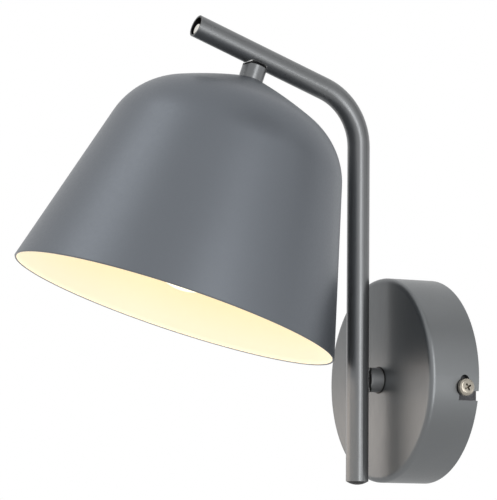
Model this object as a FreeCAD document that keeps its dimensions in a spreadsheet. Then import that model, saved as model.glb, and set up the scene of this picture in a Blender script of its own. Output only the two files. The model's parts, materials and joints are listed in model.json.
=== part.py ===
"""Bedside wall reading lamp: a round wall canopy, a bent arm tube and a spun metal shade.

Two frames carry every piece.
  Wall frame:  x to the lamp's right, y up, z out of the wall; origin on the wall, at the canopy's centre.
  Shade frame: x along the upper run of the arm, z up the shade's axis; origin on the arm tube's axis.
The row's own frame has +Z up and the room on -Y, so the wall frame is turned 90 degrees about X.
"""
import FreeCAD, Part
import math
import os
import Sketcher

Vector = FreeCAD.Vector
Rotation = FreeCAD.Rotation
Placement = FreeCAD.Placement

X_AXIS = Vector(1, 0, 0)
Y_AXIS = Vector(0, 1, 0)
Z_AXIS = Vector(0, 0, 1)

doc = FreeCAD.newDocument("ReadingLamp")

# ---------------------------------------------------------------- driving sizes, mm and degrees
SIZES = [
    # fits
    ("fit_gap", 0.05, "radial room between pieces that stay put"),
    ("pivot_gap", 0.1, "radial room at a pivot"),
    ("saddle_gap", 0.2, "room between the shade's saddle and the arm tube"),
    ("wall_gap", 1.5, "canopy's back edge off the wall"),
    # wall bracket
    ("bracket_thick", 1.5, "sheet of the bracket"),
    ("bracket_width", 22.0, "strip width"),
    ("bracket_bend", 1.5, "inner radius of the strip's bends"),
    ("lug_room", 1.9, "canopy's inner wall to the lug's face"),
    ("lug_height", 13.8, "wall to the lug's tip"),
    ("wall_slot_spacing", 60.0, "centre to centre"),
    ("wall_slot_length", 9.0, "end to end"),
    ("wall_slot_width", 4.5, "for a 4 mm wall screw"),
    ("cable_hole_dia", 13.0, "supply cable's way through"),
    ("earth_hole_place", 14.5, "earth screw, from the centre"),
    ("earth_screw_dia", 4.0, "earth screw"),
    ("earth_washer_dia", 9.0, "dished washer"),
    ("earth_washer_thick", 0.8, "dished washer"),
    # canopy
    ("canopy_dia", 100.0, "outer diameter"),
    ("canopy_depth", 26.6, "back edge to face"),
    ("canopy_wall", 1.2, "pressed sheet"),
    ("canopy_edge", 2.6, "outer radius of the front edge"),
    ("stop_pin_dia", 3.0, "riveted stop inside the canopy"),
    ("stop_pin_length", 3.2, "stop inside the canopy"),
    ("stop_pin_place", 12.0, "stop pin off the pivot's axis"),
    # bayonet keyholes and side screws
    ("side_screw_out", 8.0, "canopy's back edge to the side screw"),
    ("side_screw_drop", 5.1, "side screw off the canopy's level"),
    ("side_screw_dia", 4.0, "thread"),
    ("side_head_dia", 8.4, "pan head"),
    ("side_head_height", 2.6, "pan head"),
    ("side_head_room", 0.3, "head's underside off the canopy"),
    ("side_screw_tail", 1.5, "thread past the lug"),
    ("recess_length", 4.4, "cross recess, tip to tip"),
    ("recess_width", 0.9, "cross recess"),
    ("recess_depth", 1.5, "cross recess"),
    ("keyhole_dia", 9.0, "round part of the keyhole"),
    ("keyhole_tip_width", 4.8, "narrow locking end"),
    ("keyhole_tip_reach", 6.0, "screw to the end of the tip"),
    ("keyhole_entry_width", 4.6, "entry from the back edge"),
    ("keyhole_entry_drop", 3.9, "entry's middle below the screw"),
    ("keyhole_entry_depth", 10.6, "entry, from the back edge"),
    # terminal block
    ("block_place", 8.4, "near side, from the centre"),
    ("block_long", 17.0, "terminal block, up"),
    ("block_wide", 11.6, "terminal block, across"),
    ("block_high", 11.5, "terminal block, out from the bracket"),
    ("block_bore", 3.6, "wire way"),
    ("block_screw_dia", 3.0, "clamp screw"),
    ("block_slot_width", 0.6, "clamp screw's slot"),
    ("block_slot_depth", 0.8, "clamp screw's slot"),
    ("block_pitch", 5.8, "pole to pole, and screw to screw"),
    # arm tube
    ("tube_dia", 11.0, "outer diameter"),
    ("tube_wall", 1.0, "wall"),
    ("face_to_tube", 11.9, "canopy's face to the tube's axis"),
    ("arm_drop", 49.6, "pivot down to the tube's foot"),
    ("arm_rise", 114.1, "pivot up to the bend"),
    ("bend_radius", 29.2, "on the tube's axis"),
    ("upper_slope", 19.5, "upper run above level"),
    ("upper_length", 74.3, "upper run, bend to open end"),
    ("saddle_place", 38.6, "upper run, bend to the shade's stub"),
    ("foot_plug_bulge", 1.6, "domed foot plug below the tube"),
    ("foot_plug_depth", 8.0, "foot plug inside the tube"),
    ("foot_plug_inset", 0.2, "plug's lip inside the tube's edge"),
    ("end_plug_inset", 2.0, "upper plug's face inside the tube"),
    ("end_plug_depth", 6.0, "upper plug's length"),
    # stubs and saddles
    ("stub_dia", 12.0, "both stubs"),
    ("stub_end", 4.9, "stub's flat end to the tube's axis"),
    ("stub_chamfer", 0.4, "stub's edge at the tube"),
    ("liner_thick", 0.4, "bright saddle sheet"),
    ("spacer_thick", 0.8, "black saddle spacer"),
    ("saddle_nose", 3.9, "saddle's nose to the tube's axis"),
    # hollow screws and barrel nuts
    ("hollow_dia", 5.0, "hollow screws"),
    ("hollow_bore", 3.4, "hollow screws"),
    ("hollow_reach", 1.9, "screw's end to the tube's axis"),
    ("barrel_length", 13.0, "barrel nuts in the tube"),
    ("barrel_wire_dia", 3.8, "wire way along the barrel nut"),
    ("flex_dia", 2.8, "two-core inner flex"),
    ("flex_gap", 0.2, "between the ends of two flexes at a pivot"),
    ("flex_bend", 5.0, "flex bends inside the canopy"),
    ("flex_rise", 4.0, "flex's turn above the terminal block's middle"),
    ("flex_loop", 12.0, "flex loop beyond the terminal block"),
    ("washer_dia", 18.0, "friction washer and stop disc's hub"),
    ("washer_thick", 1.0, "friction washer"),
    ("stop_disc_dia", 28.0, "stop disc"),
    ("stop_disc_thick", 1.0, "stop disc"),
    ("arm_travel", 90.0, "each way, at the wall stub"),
    ("stop_slack", 2.0, "stop's room past the travel"),
    ("nut_across", 9.0, "lock nut across flats"),
    ("nut_thick", 4.0, "lock nut"),
    ("thread_tail", 1.5, "screw past the lock nut"),
    # shade joint
    ("shade_lean", 2.2, "shade's axis off square to the upper run"),
    ("shade_swing", -4.7, "shade's swing about the upper run as drawn"),
    ("swing_travel", 14.0, "each way from the arm's plane"),
    # shade
    ("crown_drop", 12.3, "tube's axis to the crown's flat"),
    ("crown_flat_dia", 12.4, "flat under the stub"),
    ("crown_slope", 17.2, "crown at the flat's edge"),
    ("crown_radius", 257.0, "crown's long curve"),
    ("shoulder_slope", 24.6, "where the crown turns over"),
    ("shoulder_radius", 38.0, "shoulder"),
    ("rim_dia", 160.4, "shade's mouth, outside"),
    ("rim_drop", 130.2, "tube's axis to the rim"),
    ("shade_wall", 1.0, "spun sheet"),
    ("collar_across", 13.0, "crown screw's collar, across flats"),
    ("collar_thick", 2.6, "crown screw's collar"),
    ("crown_washer_dia", 11.8, "washer under the crown's flat"),
    ("crown_washer_thick", 1.0, "washer under the crown"),
    ("neck_dia", 10.0, "threaded neck of the lampholder"),
    ("neck_length", 8.0, "threaded neck"),
    # lampholder
    ("holder_dia", 25.0, "lampholder body"),
    ("holder_wall", 1.8, "lampholder body"),
    ("holder_cap_length", 14.0, "domed cap"),
    ("holder_cap_edge", 5.0, "cap's shoulder"),
    ("holder_body_length", 31.0, "skirt below the cap"),
    ("holder_core_length", 8.0, "insulating core"),
    ("sleeve_dia", 15.4, "threaded sleeve, outside"),
    ("sleeve_wall", 0.5, "threaded sleeve"),
    ("sleeve_length", 19.0, "threaded sleeve"),
    ("contact_dia", 5.0, "spring contact"),
    ("contact_length", 2.5, "spring contact"),
    ("core_bore", 3.2, "wire way through the core"),
    # bulb
    ("base_dia", 13.9, "bulb's screw base"),
    ("base_wall", 0.3, "bulb's screw base"),
    ("base_length", 17.0, "bulb's screw base"),
    ("insulator_length", 3.0, "glass button under the base"),
    ("bulb_contact_dia", 4.6, "solder contact"),
    ("bulb_contact_length", 1.4, "solder contact"),
    ("bulb_dia", 45.0, "round bulb"),
    ("bulb_neck_dia", 21.0, "where the glass leaves the base"),
    ("bulb_wall", 0.8, "glass"),
    ("bulb_seal", 3.0, "glass inside the base"),
    ("bulb_flare", 4.0, "base's mouth to the full neck"),
    ("button_rim", 1.0, "insulating button inside the base's edge"),
    ("bulb_reach", 57.5, "base's mouth to the bulb's tip"),
    ("stem_dia", 5.0, "glass stem"),
    ("stem_length", 22.0, "glass stem"),
]

# ---------------------------------------------------------------- places worked out from the sizes
PLACES = [
    ("face_out", "Sizes.wall_gap + Sizes.canopy_depth"),
    ("inner_face_out", "Places.face_out - Sizes.canopy_wall"),
    ("tube_out", "Places.face_out + Sizes.face_to_tube"),
    ("canopy_radius", "Sizes.canopy_dia / 2"),
    ("canopy_inner_radius", "Places.canopy_radius - Sizes.canopy_wall"),
    ("lug_face", "Places.canopy_inner_radius - Sizes.lug_room"),
    ("screw_out", "Sizes.wall_gap + Sizes.side_screw_out"),
    ("tube_radius", "Sizes.tube_dia / 2"),
    ("bore_radius", "Places.tube_radius - Sizes.tube_wall"),
    ("stub_radius", "Sizes.stub_dia / 2"),
    ("hollow_radius", "Sizes.hollow_dia / 2"),
    ("bend_end_up", "Sizes.arm_rise + Sizes.bend_radius * cos(Sizes.upper_slope)"),
    ("bend_end_out", "Places.tube_out + Sizes.bend_radius * (1 - sin(Sizes.upper_slope))"),
    ("shade_up", "Places.bend_end_up + Sizes.saddle_place * sin(Sizes.upper_slope)"),
    ("shade_out", "Places.bend_end_out + Sizes.saddle_place * cos(Sizes.upper_slope)"),
    ("end_up", "Places.bend_end_up + Sizes.upper_length * sin(Sizes.upper_slope)"),
    ("end_out", "Places.bend_end_out + Sizes.upper_length * cos(Sizes.upper_slope)"),
    # shade profile, as radius and drop below the tube's axis
    ("crown_x", "Sizes.crown_flat_dia / 2"),
    ("crown_in_radius", "Sizes.crown_radius - Sizes.shade_wall"),
    ("crown_in_rise", "Sizes.crown_radius * cos(Sizes.crown_slope) - Sizes.shade_wall"),
    ("crown_in_x", "Places.crown_x - Sizes.crown_radius * sin(Sizes.crown_slope) + sqrt("
                   "Places.crown_in_radius * Places.crown_in_radius"
                   " - Places.crown_in_rise * Places.crown_in_rise)"),
    ("shoulder_x", "Places.crown_x"
                   " + Sizes.crown_radius * (sin(Sizes.shoulder_slope) - sin(Sizes.crown_slope))"),
    ("shoulder_y", "Sizes.crown_drop"
                   " + Sizes.crown_radius * (cos(Sizes.crown_slope) - cos(Sizes.shoulder_slope))"),
    ("turn_x", "Places.shoulder_x - Sizes.shoulder_radius * sin(Sizes.shoulder_slope)"),
    ("turn_y", "Places.shoulder_y + Sizes.shoulder_radius * cos(Sizes.shoulder_slope)"),
    ("rim_run", "Sizes.rim_dia / 2 - Places.turn_x"),
    ("rim_fall", "Sizes.rim_drop - Places.turn_y"),
    ("rim_line", "sqrt(Places.rim_run * Places.rim_run + Places.rim_fall * Places.rim_fall)"),
    ("cone_angle", "(acos(Sizes.shoulder_radius / Places.rim_line)"
                   " - atan(Places.rim_fall / Places.rim_run)) / 1 deg"),
    ("cone_x", "Places.turn_x + Sizes.shoulder_radius * cos(Places.cone_angle)"),
    ("cone_y", "Places.turn_y - Sizes.shoulder_radius * sin(Places.cone_angle)"),
    # stack on the shade's axis, as drops below the tube's axis
    ("washer_drop", "Sizes.crown_drop + Sizes.shade_wall"),
    ("collar_drop", "Places.washer_drop + Sizes.crown_washer_thick"),
    ("neck_drop", "Places.collar_drop + Sizes.collar_thick"),
    ("skirt_drop", "Places.neck_drop + Sizes.holder_cap_length"),
    ("mouth_drop", "Places.skirt_drop + Sizes.holder_body_length"),
    ("core_drop", "Places.skirt_drop - Sizes.fit_gap"),
    ("core_end", "Places.core_drop + Sizes.holder_core_length"),
    ("sleeve_end", "Places.core_end + Sizes.sleeve_length"),
    ("bulb_contact_drop", "Places.core_end + Sizes.contact_length"),
    ("insulator_drop", "Places.bulb_contact_drop + Sizes.bulb_contact_length"),
    ("base_drop", "Places.insulator_drop + Sizes.insulator_length"),
    ("base_mouth", "Places.base_drop + Sizes.base_length"),
]


def fill_sheet(name, rows):
    """A spreadsheet with one named cell to a row and a remark beside it."""
    sheet = doc.addObject("Spreadsheet::Sheet", name)
    for number, row in enumerate(rows, start=1):
        sheet.set(f"A{number}", row[1] if isinstance(row[1], str) else str(row[1]))
        sheet.setAlias(f"A{number}", row[0])
        if len(row) > 2:
            sheet.set(f"B{number}", row[2])
    return sheet


sizes = fill_sheet("Sizes", SIZES)
places = fill_sheet("Places", [(alias, "=" + formula.replace("Places.", "")) for alias, formula in PLACES])
doc.recompute()


def amount(expression):
    """The number that an expression of sheet cells comes to."""
    value = sizes.evalExpression(expression)
    return float(getattr(value, "Value", value))


# ---------------------------------------------------------------- frames
WALL = Placement(Vector(0, 0, 0), Rotation(X_AXIS, 90))


def shade_frame():
    """Shade frame: the upper run's direction, swung about the tube and leaned along it."""
    origin = WALL.multVec(Vector(0, amount("Places.shade_up"), amount("Places.shade_out")))
    along_run = Rotation(X_AXIS, -amount("Sizes.upper_slope")) * Rotation(Z_AXIS, -90)
    turned = along_run * Rotation(X_AXIS, amount("Sizes.shade_swing"))
    return Placement(origin, turned * Rotation(Y_AXIS, amount("Sizes.shade_lean")))


SHADE = shade_frame()
# the upper run's direction, seen from the shade frame
RUN_TURN = Rotation(Y_AXIS, 90 - amount("Sizes.shade_lean"))

subparts = []


def keep(piece, label, frame):
    """Name a finished piece and stand it in its frame."""
    piece.Label = label
    piece.Placement = frame * piece.Placement
    subparts.append(piece)
    return piece


# ---------------------------------------------------------------- sketch helpers
class Arc:
    """The edge to the next corner is an arc: its radius, and +1 if it turns left."""

    def __init__(self, radius, turn):
        self.radius = radius
        self.turn = turn


def new_sketch(body, name, role):
    """An empty sketch on one of the body's own planes."""
    sketch = body.newObject("Sketcher::SketchObject", name)
    plane = next(item for item in body.Origin.OriginFeatures if item.Role == role)
    sketch.AttachmentSupport = (plane, [""])
    sketch.MapMode = "FlatFace"
    return sketch


def bind_point(sketch, edge, end, place):
    """Tie one end of an edge to a pair of expressions."""
    for axis, kind, expression in ((-2, "DistanceX", place[0]), (-1, "DistanceY", place[1])):
        if expression == "0":
            sketch.addConstraint(Sketcher.Constraint("PointOnObject", edge, end, axis))
            continue
        index = sketch.addConstraint(Sketcher.Constraint(kind, -1, 1, edge, end, amount(expression)))
        sketch.setExpression(f"Constraints[{index}]", expression)


def arc_edge(start, finish, arc):
    """Sketch arc from start to finish, less than half a turn."""
    radius = amount(arc.radius)
    chord = finish - start
    middle = (start + finish) * 0.5
    left = Vector(-chord.y, chord.x, 0).normalize()
    rise = math.sqrt(max(radius ** 2 - (chord.Length / 2) ** 2, 0))
    centre = middle + left * (rise * arc.turn)
    begin, end = (start, finish) if arc.turn > 0 else (finish, start)
    angles = [math.atan2(point.y - centre.y, point.x - centre.x) for point in (begin, end)]
    return Part.ArcOfCircle(Part.Circle(centre, Z_AXIS, radius), angles[0], angles[1])


def draw_outline(sketch, path, closed=True):
    """Lines and arcs through corners given as pairs of expressions."""
    corners = [step for step in path if not isinstance(step, Arc)]
    points = [Vector(amount(place[0]), amount(place[1]), 0) for place in corners]
    arcs = {}
    count = 0
    for step in path:
        if isinstance(step, Arc):
            arcs[count - 1] = step
        else:
            count += 1
    ends = []
    for index in range(len(corners) if closed else len(corners) - 1):
        start, finish = points[index], points[(index + 1) % len(corners)]
        arc = arcs.get(index)
        if arc is None:
            edge = sketch.addGeometry(Part.LineSegment(start, finish))
            ends.append((edge, 1, 2))
            continue
        edge = sketch.addGeometry(arc_edge(start, finish, arc))
        ends.append((edge, 1, 2) if arc.turn > 0 else (edge, 2, 1))
        limit = sketch.addConstraint(Sketcher.Constraint("Radius", edge, amount(arc.radius)))
        sketch.setExpression(f"Constraints[{limit}]", arc.radius)
    for index, (edge, first, last) in enumerate(ends):
        bind_point(sketch, edge, first, corners[index])
        if closed or index + 1 < len(ends):
            following = ends[(index + 1) % len(ends)]
            sketch.addConstraint(Sketcher.Constraint("Coincident", edge, last, following[0], following[1]))
        else:
            bind_point(sketch, edge, last, corners[index + 1])


def draw_circle(sketch, place, radius):
    """A circle whose centre and radius follow expressions."""
    centre = Vector(amount(place[0]), amount(place[1]), 0)
    edge = sketch.addGeometry(Part.Circle(centre, Z_AXIS, amount(radius)))
    bind_point(sketch, edge, 3, place)
    index = sketch.addConstraint(Sketcher.Constraint("Radius", edge, amount(radius)))
    sketch.setExpression(f"Constraints[{index}]", radius)


def turned_body(name, path):
    """A body turned about its own z axis from an outline of radius and height."""
    body = doc.addObject("PartDesign::Body", name)
    sketch = new_sketch(body, name + "_outline", "XZ_Plane")
    draw_outline(sketch, path)
    turn = body.newObject("PartDesign::Revolution", name + "_turned")
    turn.Profile = sketch
    turn.ReferenceAxis = (sketch, ["V_Axis"])
    turn.Angle = 360
    doc.recompute()
    return body


def tube_path(bore, radius, low, high):
    """Outline of a plain ring of an axis: bore, outer radius, low and high."""
    return [(bore, low), (radius, low), (radius, high), (bore, high)]


def rod_path(radius, low, high):
    """Outline of a plain rod of an axis."""
    return [("0", low), (radius, low), (radius, high), ("0", high)]


def pocket(body, name, role, draw, depth, reverse):
    """Cut a sketched opening into a body."""
    sketch = new_sketch(body, name + "_sketch", role)
    draw(sketch)
    cut = body.newObject("PartDesign::Pocket", name)
    cut.Profile = sketch
    cut.setExpression("Length", depth)
    cut.Reversed = reverse
    doc.recompute()
    return cut


def repeat_about_z(body, name, features, times):
    """Repeat features evenly about the body's z axis."""
    pattern = body.newObject("PartDesign::PolarPattern", name)
    pattern.Originals = features
    axis = next(item for item in body.Origin.OriginFeatures if item.Role == "Z_Axis")
    pattern.Axis = (axis, [""])
    pattern.Angle = 360
    pattern.Occurrences = times
    body.Tip = pattern
    doc.recompute()
    return pattern


# ---------------------------------------------------------------- solid helpers
# a cutter is this many times as long as what it cuts, so that it runs past both faces
OVERRUN = 3


def cylinder(name, radius, height, frame=None, angle=360):
    """A cylinder whose radius and height follow expressions."""
    solid = doc.addObject("Part::Cylinder", name)
    solid.setExpression("Radius", radius)
    solid.setExpression("Height", height)
    solid.Angle = angle
    solid.Placement = frame or Placement()
    return solid


def box(name, lengths, frame):
    """A box whose three lengths follow expressions."""
    solid = doc.addObject("Part::Box", name)
    for side, length in zip(("Length", "Width", "Height"), lengths):
        solid.setExpression(side, length)
    solid.Placement = frame
    return solid


def cut_away(name, base, tools):
    """The base without each of the tools."""
    result = base
    for number, tool in enumerate(tools, start=1):
        step = doc.addObject("Part::Cut", name if number == len(tools) else f"{name}_step_{number}")
        step.Base = result
        step.Tool = tool
        result = step
    doc.recompute()
    return result


def shared_space(name, first, second):
    """What two solids have in common."""
    result = doc.addObject("Part::Common", name)
    result.Base = first
    result.Tool = second
    doc.recompute()
    return result


def joined(name, pieces):
    """Several solids as one."""
    result = doc.addObject("Part::MultiFuse", name)
    result.Shapes = pieces
    result.Refine = True
    doc.recompute()
    return result


def at(x=0.0, y=0.0, z=0.0, turn=None):
    """A placement from a point and a rotation."""
    return Placement(Vector(x, y, z), turn or Rotation())


# ---------------------------------------------------------------- wall side
def wall_bracket():
    """Steel strip on the wall, both ends bent out into threaded lugs inside the canopy."""
    body = doc.addObject("PartDesign::Body", "wall_bracket_body")
    sketch = new_sketch(body, "bracket_section", "XZ_Plane")
    thick, bend = "Sizes.bracket_thick", "Sizes.bracket_bend"
    outer = f"({bend} + {thick})"
    face, inner = "Places.lug_face", f"(Places.lug_face - {thick})"
    flat = f"(Places.lug_face - {outer})"
    tip = "Sizes.lug_height"
    draw_outline(sketch, [
        (f"-{flat}", "0"), (flat, "0"), Arc(outer, 1),
        (face, outer), (face, tip), (inner, tip), (inner, outer), Arc(bend, -1),
        (flat, thick), (f"-{flat}", thick), Arc(bend, -1),
        (f"-{inner}", outer), (f"-{inner}", tip), (f"-{face}", tip), (f"-{face}", outer), Arc(outer, 1)])
    pad = body.newObject("PartDesign::Pad", "bracket_strip")
    pad.Profile = sketch
    pad.SideType = "Symmetric"
    pad.setExpression("Length", "Sizes.bracket_width")
    doc.recompute()
    through = f"Sizes.bracket_thick * {OVERRUN}"

    def draw_holes(holes):
        draw_circle(holes, ("0", "0"), "Sizes.cable_hole_dia / 2")
        draw_circle(holes, ("-Sizes.earth_hole_place", "0"), "Sizes.earth_screw_dia / 2 + Sizes.fit_gap")

    pocket(body, "strip_holes", "XY_Plane", draw_holes, through, True)

    def draw_slot(slot):
        half = "Sizes.wall_slot_width / 2"
        near = "(Sizes.wall_slot_spacing - Sizes.wall_slot_length + Sizes.wall_slot_width) / 2"
        far = "(Sizes.wall_slot_spacing + Sizes.wall_slot_length - Sizes.wall_slot_width) / 2"
        tip_near = "(Sizes.wall_slot_spacing - Sizes.wall_slot_length) / 2"
        tip_far = "(Sizes.wall_slot_spacing + Sizes.wall_slot_length) / 2"
        draw_outline(slot, [
            (near, f"-{half}"), (far, f"-{half}"), Arc(half, 1), (tip_far, "0"), Arc(half, 1),
            (far, half), (near, half), Arc(half, 1), (tip_near, "0"), Arc(half, 1)])

    slot = pocket(body, "wall_slot", "XY_Plane", draw_slot, through, True)

    def draw_lug_hole(hole):
        draw_circle(hole, ("-Sizes.side_screw_drop", "Places.screw_out"),
                    "Sizes.side_screw_dia / 2 + Sizes.fit_gap")

    lug_hole = pocket(body, "lug_hole", "YZ_Plane", draw_lug_hole, "Sizes.canopy_dia", True)
    repeat_about_z(body, "bracket_pair", [slot, lug_hole], 2)
    keep(body, "wall_bracket", WALL)


def pan_screw(name, thread, length):
    """Pan head screw along z: the head's underside at z = 0, the thread below it."""
    head, height = "Sizes.side_head_dia", "Sizes.side_head_height"
    edge = f"({head} / 2 - {height} / 2)"
    body = turned_body(name + "_body", [
        ("0", f"-{length}"), (f"{thread} / 2", f"-{length}"), (f"{thread} / 2", "0"), (f"{head} / 2", "0"),
        (f"{head} / 2", f"{height} / 2"), Arc(f"{height} / 2", 1), (edge, height), ("0", height)])
    depth = "Sizes.recess_depth"
    bars = []
    for turn in (0, 90):
        bar = box(f"{name}_recess_{turn}",
                  ("Sizes.recess_length", "Sizes.recess_width", f"{depth} * {OVERRUN}"), at())
        corner = Vector(-amount("Sizes.recess_length") / 2, -amount("Sizes.recess_width") / 2, 0)
        lift = at(z=amount(height) - amount(depth), turn=Rotation(Z_AXIS, turn))
        bar.Placement = lift * Placement(corner, Rotation())
        bars.append(bar)
    return cut_away(name, body, bars)


def side_screws():
    """The two pan head screws that hold the canopy on the bracket's lugs."""
    under_head = amount("Places.canopy_radius + Sizes.side_head_room")
    length = ("(Places.canopy_radius + Sizes.side_head_room - Places.lug_face"
              " + Sizes.bracket_thick + Sizes.side_screw_tail)")
    drop = amount("Sizes.side_screw_drop")
    out = amount("Places.screw_out")
    for side, turn in (("right", 0), ("left", 180)):
        screw = pan_screw("screw_" + side, "Sizes.side_screw_dia", length)
        screw.Placement = at(turn=Rotation(Z_AXIS, turn)) * at(under_head, -drop, out, Rotation(Y_AXIS, 90))
        keep(screw, "side_screw_" + side, WALL)


def terminal_block():
    """Two-pole terminal block on the bracket, with its four clamp screws."""
    near = amount("Sizes.block_place")
    long, wide, high = amount("Sizes.block_long"), amount("Sizes.block_wide"), amount("Sizes.block_high")
    seat = amount("Sizes.bracket_thick")
    half_pitch = amount("Sizes.block_pitch") / 2
    middle = near + wide / 2
    block = box("block_body", ("Sizes.block_wide", "Sizes.block_long", "Sizes.block_high"),
                at(near, -long / 2, seat))
    poles = [middle - half_pitch, middle + half_pitch]
    tools = []
    for number, pole in enumerate(poles, start=1):
        way = at(pole, -long, seat + high / 2, Rotation(X_AXIS, -90))
        tools.append(cylinder(f"block_way_{number}", "Sizes.block_bore / 2",
                              f"Sizes.block_long * {OVERRUN}", way))
    screw_places = [(pole, shift) for pole in poles for shift in (-half_pitch, half_pitch)]
    for number, (pole, shift) in enumerate(screw_places, start=1):
        well = at(pole, shift, seat + high / 2)
        tools.append(cylinder(f"block_well_{number}", "Sizes.block_screw_dia / 2 + Sizes.fit_gap",
                              "Sizes.block_high", well))
    keep(cut_away("block", block, tools), "terminal_block", WALL)
    for number, (pole, shift) in enumerate(screw_places, start=1):
        foot = seat + (high + amount("Sizes.block_bore")) / 2
        screw = cylinder(f"clamp_{number}", "Sizes.block_screw_dia / 2",
                         "(Sizes.block_high - Sizes.block_bore) / 2", at(pole, shift, foot))
        slot = box(f"clamp_slot_{number}",
                   ("Sizes.block_screw_dia", "Sizes.block_slot_width", "Sizes.block_high"),
                   at(pole - amount("Sizes.block_screw_dia / 2"),
                      shift - amount("Sizes.block_slot_width / 2"),
                      seat + high - amount("Sizes.block_slot_depth")))
        keep(cut_away(f"clamp_cut_{number}", screw, [slot]), f"terminal_screw_{number}", WALL)


def earth_screw():
    """Earthing screw in the bracket, with its dished washer."""
    place = -amount("Sizes.earth_hole_place")
    seat = amount("Sizes.bracket_thick")
    washer = turned_body("earth_washer_body", tube_path(
        "Sizes.earth_screw_dia / 2 + Sizes.fit_gap", "Sizes.earth_washer_dia / 2",
        "0", "Sizes.earth_washer_thick"))
    washer.Placement = at(place, 0, seat)
    keep(washer, "earth_washer", WALL)
    screw = pan_screw("earth", "Sizes.earth_screw_dia", "(Sizes.bracket_thick + Sizes.earth_washer_thick)")
    screw.Placement = at(place, 0, seat + amount("Sizes.earth_washer_thick"))
    keep(screw, "earth_screw", WALL)


# ---------------------------------------------------------------- canopy
def canopy():
    """Pressed round cup with two bayonet keyholes in its side wall."""
    wall, edge = "Sizes.canopy_wall", "Sizes.canopy_edge"
    radius, inner = "Places.canopy_radius", "Places.canopy_inner_radius"
    face, back = "Places.face_out", "Places.inner_face_out"
    hole = "(Places.hollow_radius + Sizes.pivot_gap)"
    body = turned_body("canopy_body", [
        (inner, "Sizes.wall_gap"), (radius, "Sizes.wall_gap"), (radius, f"{face} - {edge}"), Arc(edge, 1),
        (f"{radius} - {edge}", face), (hole, face), (hole, back), (f"{radius} - {edge}", back),
        Arc(f"({edge} - {wall})", -1), (inner, f"{face} - {edge}")])
    level, out = "-Sizes.side_screw_drop", "Places.screw_out"
    depth = "Sizes.canopy_dia"

    def draw_round(sketch):
        draw_circle(sketch, (level, out), "Sizes.keyhole_dia / 2")

    def draw_tip(sketch):
        half = "(Sizes.keyhole_tip_width / 2)"
        top = f"({level} + Sizes.keyhole_tip_reach)"
        draw_outline(sketch, [
            (level, f"{out} - {half}"), (f"{top} - {half}", f"{out} - {half}"), Arc(half, 1), (top, out),
            Arc(half, 1), (f"{top} - {half}", f"{out} + {half}"), (level, f"{out} + {half}")])

    def draw_entry(sketch):
        middle = f"({level} - Sizes.keyhole_entry_drop)"
        half = "Sizes.keyhole_entry_width / 2"
        end = "Sizes.wall_gap + Sizes.keyhole_entry_depth"
        draw_outline(sketch, [(f"{middle} - {half}", "0"), (f"{middle} + {half}", "0"),
                              (f"{middle} + {half}", end), (f"{middle} - {half}", end)])

    cuts = [pocket(body, name, "YZ_Plane", draw, depth, True) for name, draw in
            (("keyhole_round", draw_round), ("keyhole_tip", draw_tip), ("keyhole_entry", draw_entry))]
    repeat_about_z(body, "keyhole_pair", cuts, 2)
    keep(body, "canopy_cup", WALL)
    pin = cylinder("stop_pin_solid", "Sizes.stop_pin_dia / 2", "Sizes.stop_pin_length",
                   at(0, amount("Sizes.stop_pin_place"),
                      amount("Places.inner_face_out - Sizes.stop_pin_length")))
    keep(pin, "stop_pin", WALL)


# ---------------------------------------------------------------- arm
def draw_arm_path(sketch):
    """The tube's centreline: up, round the bend, and out along the slope."""
    draw_outline(sketch, [
        ("-Sizes.arm_drop", "Places.tube_out"), ("Sizes.arm_rise", "Places.tube_out"),
        Arc("Sizes.bend_radius", 1), ("Places.bend_end_up", "Places.bend_end_out"),
        ("Places.end_up", "Places.end_out")], closed=False)


def arm_tube():
    """Bent arm tube, open at its upper end, drilled at the wall stub and slotted under the shade."""
    body = doc.addObject("PartDesign::Body", "arm_tube_body")
    path = new_sketch(body, "arm_path", "YZ_Plane")
    draw_arm_path(path)
    ring = new_sketch(body, "arm_ring", "XZ_Plane")
    ring.AttachmentOffset = Placement(Vector(0, 0, amount("Sizes.arm_drop")), Rotation())
    ring.setExpression("AttachmentOffset.Base.z", "Sizes.arm_drop")
    draw_circle(ring, ("0", "Places.tube_out"), "Places.tube_radius")
    draw_circle(ring, ("0", "Places.tube_out"), "Places.bore_radius")
    pipe = body.newObject("PartDesign::AdditivePipe", "arm_pipe")
    pipe.Profile = ring
    pipe.Spine = (path, [])
    doc.recompute()
    hole = cylinder("pivot_hole", "Places.hollow_radius + Sizes.fit_gap", "Sizes.tube_dia",
                    at(z=amount("Places.tube_out - Sizes.tube_dia")))
    keep(cut_away("arm_tube_cut", body, [hole, swing_slot()]), "arm_tube", WALL)


def swing_slot():
    """Cutter of the slot milled round the underside of the upper run, for the shade's hollow screw."""
    radius = "(Places.hollow_radius + Sizes.pivot_gap)"
    travel = amount("Sizes.swing_travel")
    # the leaning screw crosses the tube's wall a little way down the run
    slip = amount("(Places.tube_radius - Sizes.tube_wall / 2) * tan(Sizes.shade_lean)")
    run_frame = at(0, amount("Places.shade_up"), amount("Places.shade_out"),
                   Rotation(X_AXIS, -amount("Sizes.upper_slope"))) * at(z=-slip)
    low = Rotation(Z_AXIS, -90 - travel)
    middle = cylinder("swing_slot_middle", "Sizes.tube_dia", f"{radius} * 2",
                      run_frame * at(z=-amount(radius), turn=low), angle=2 * travel)
    ends = []
    for side in (-1, 1):
        down = Rotation(Z_AXIS, side * travel) * Rotation(X_AXIS, 90)
        ends.append(cylinder("swing_slot_low_end" if side < 0 else "swing_slot_high_end", radius,
                             "Sizes.tube_dia", run_frame * at(turn=down)))
    return joined("swing_slot", [middle] + ends)


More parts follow.
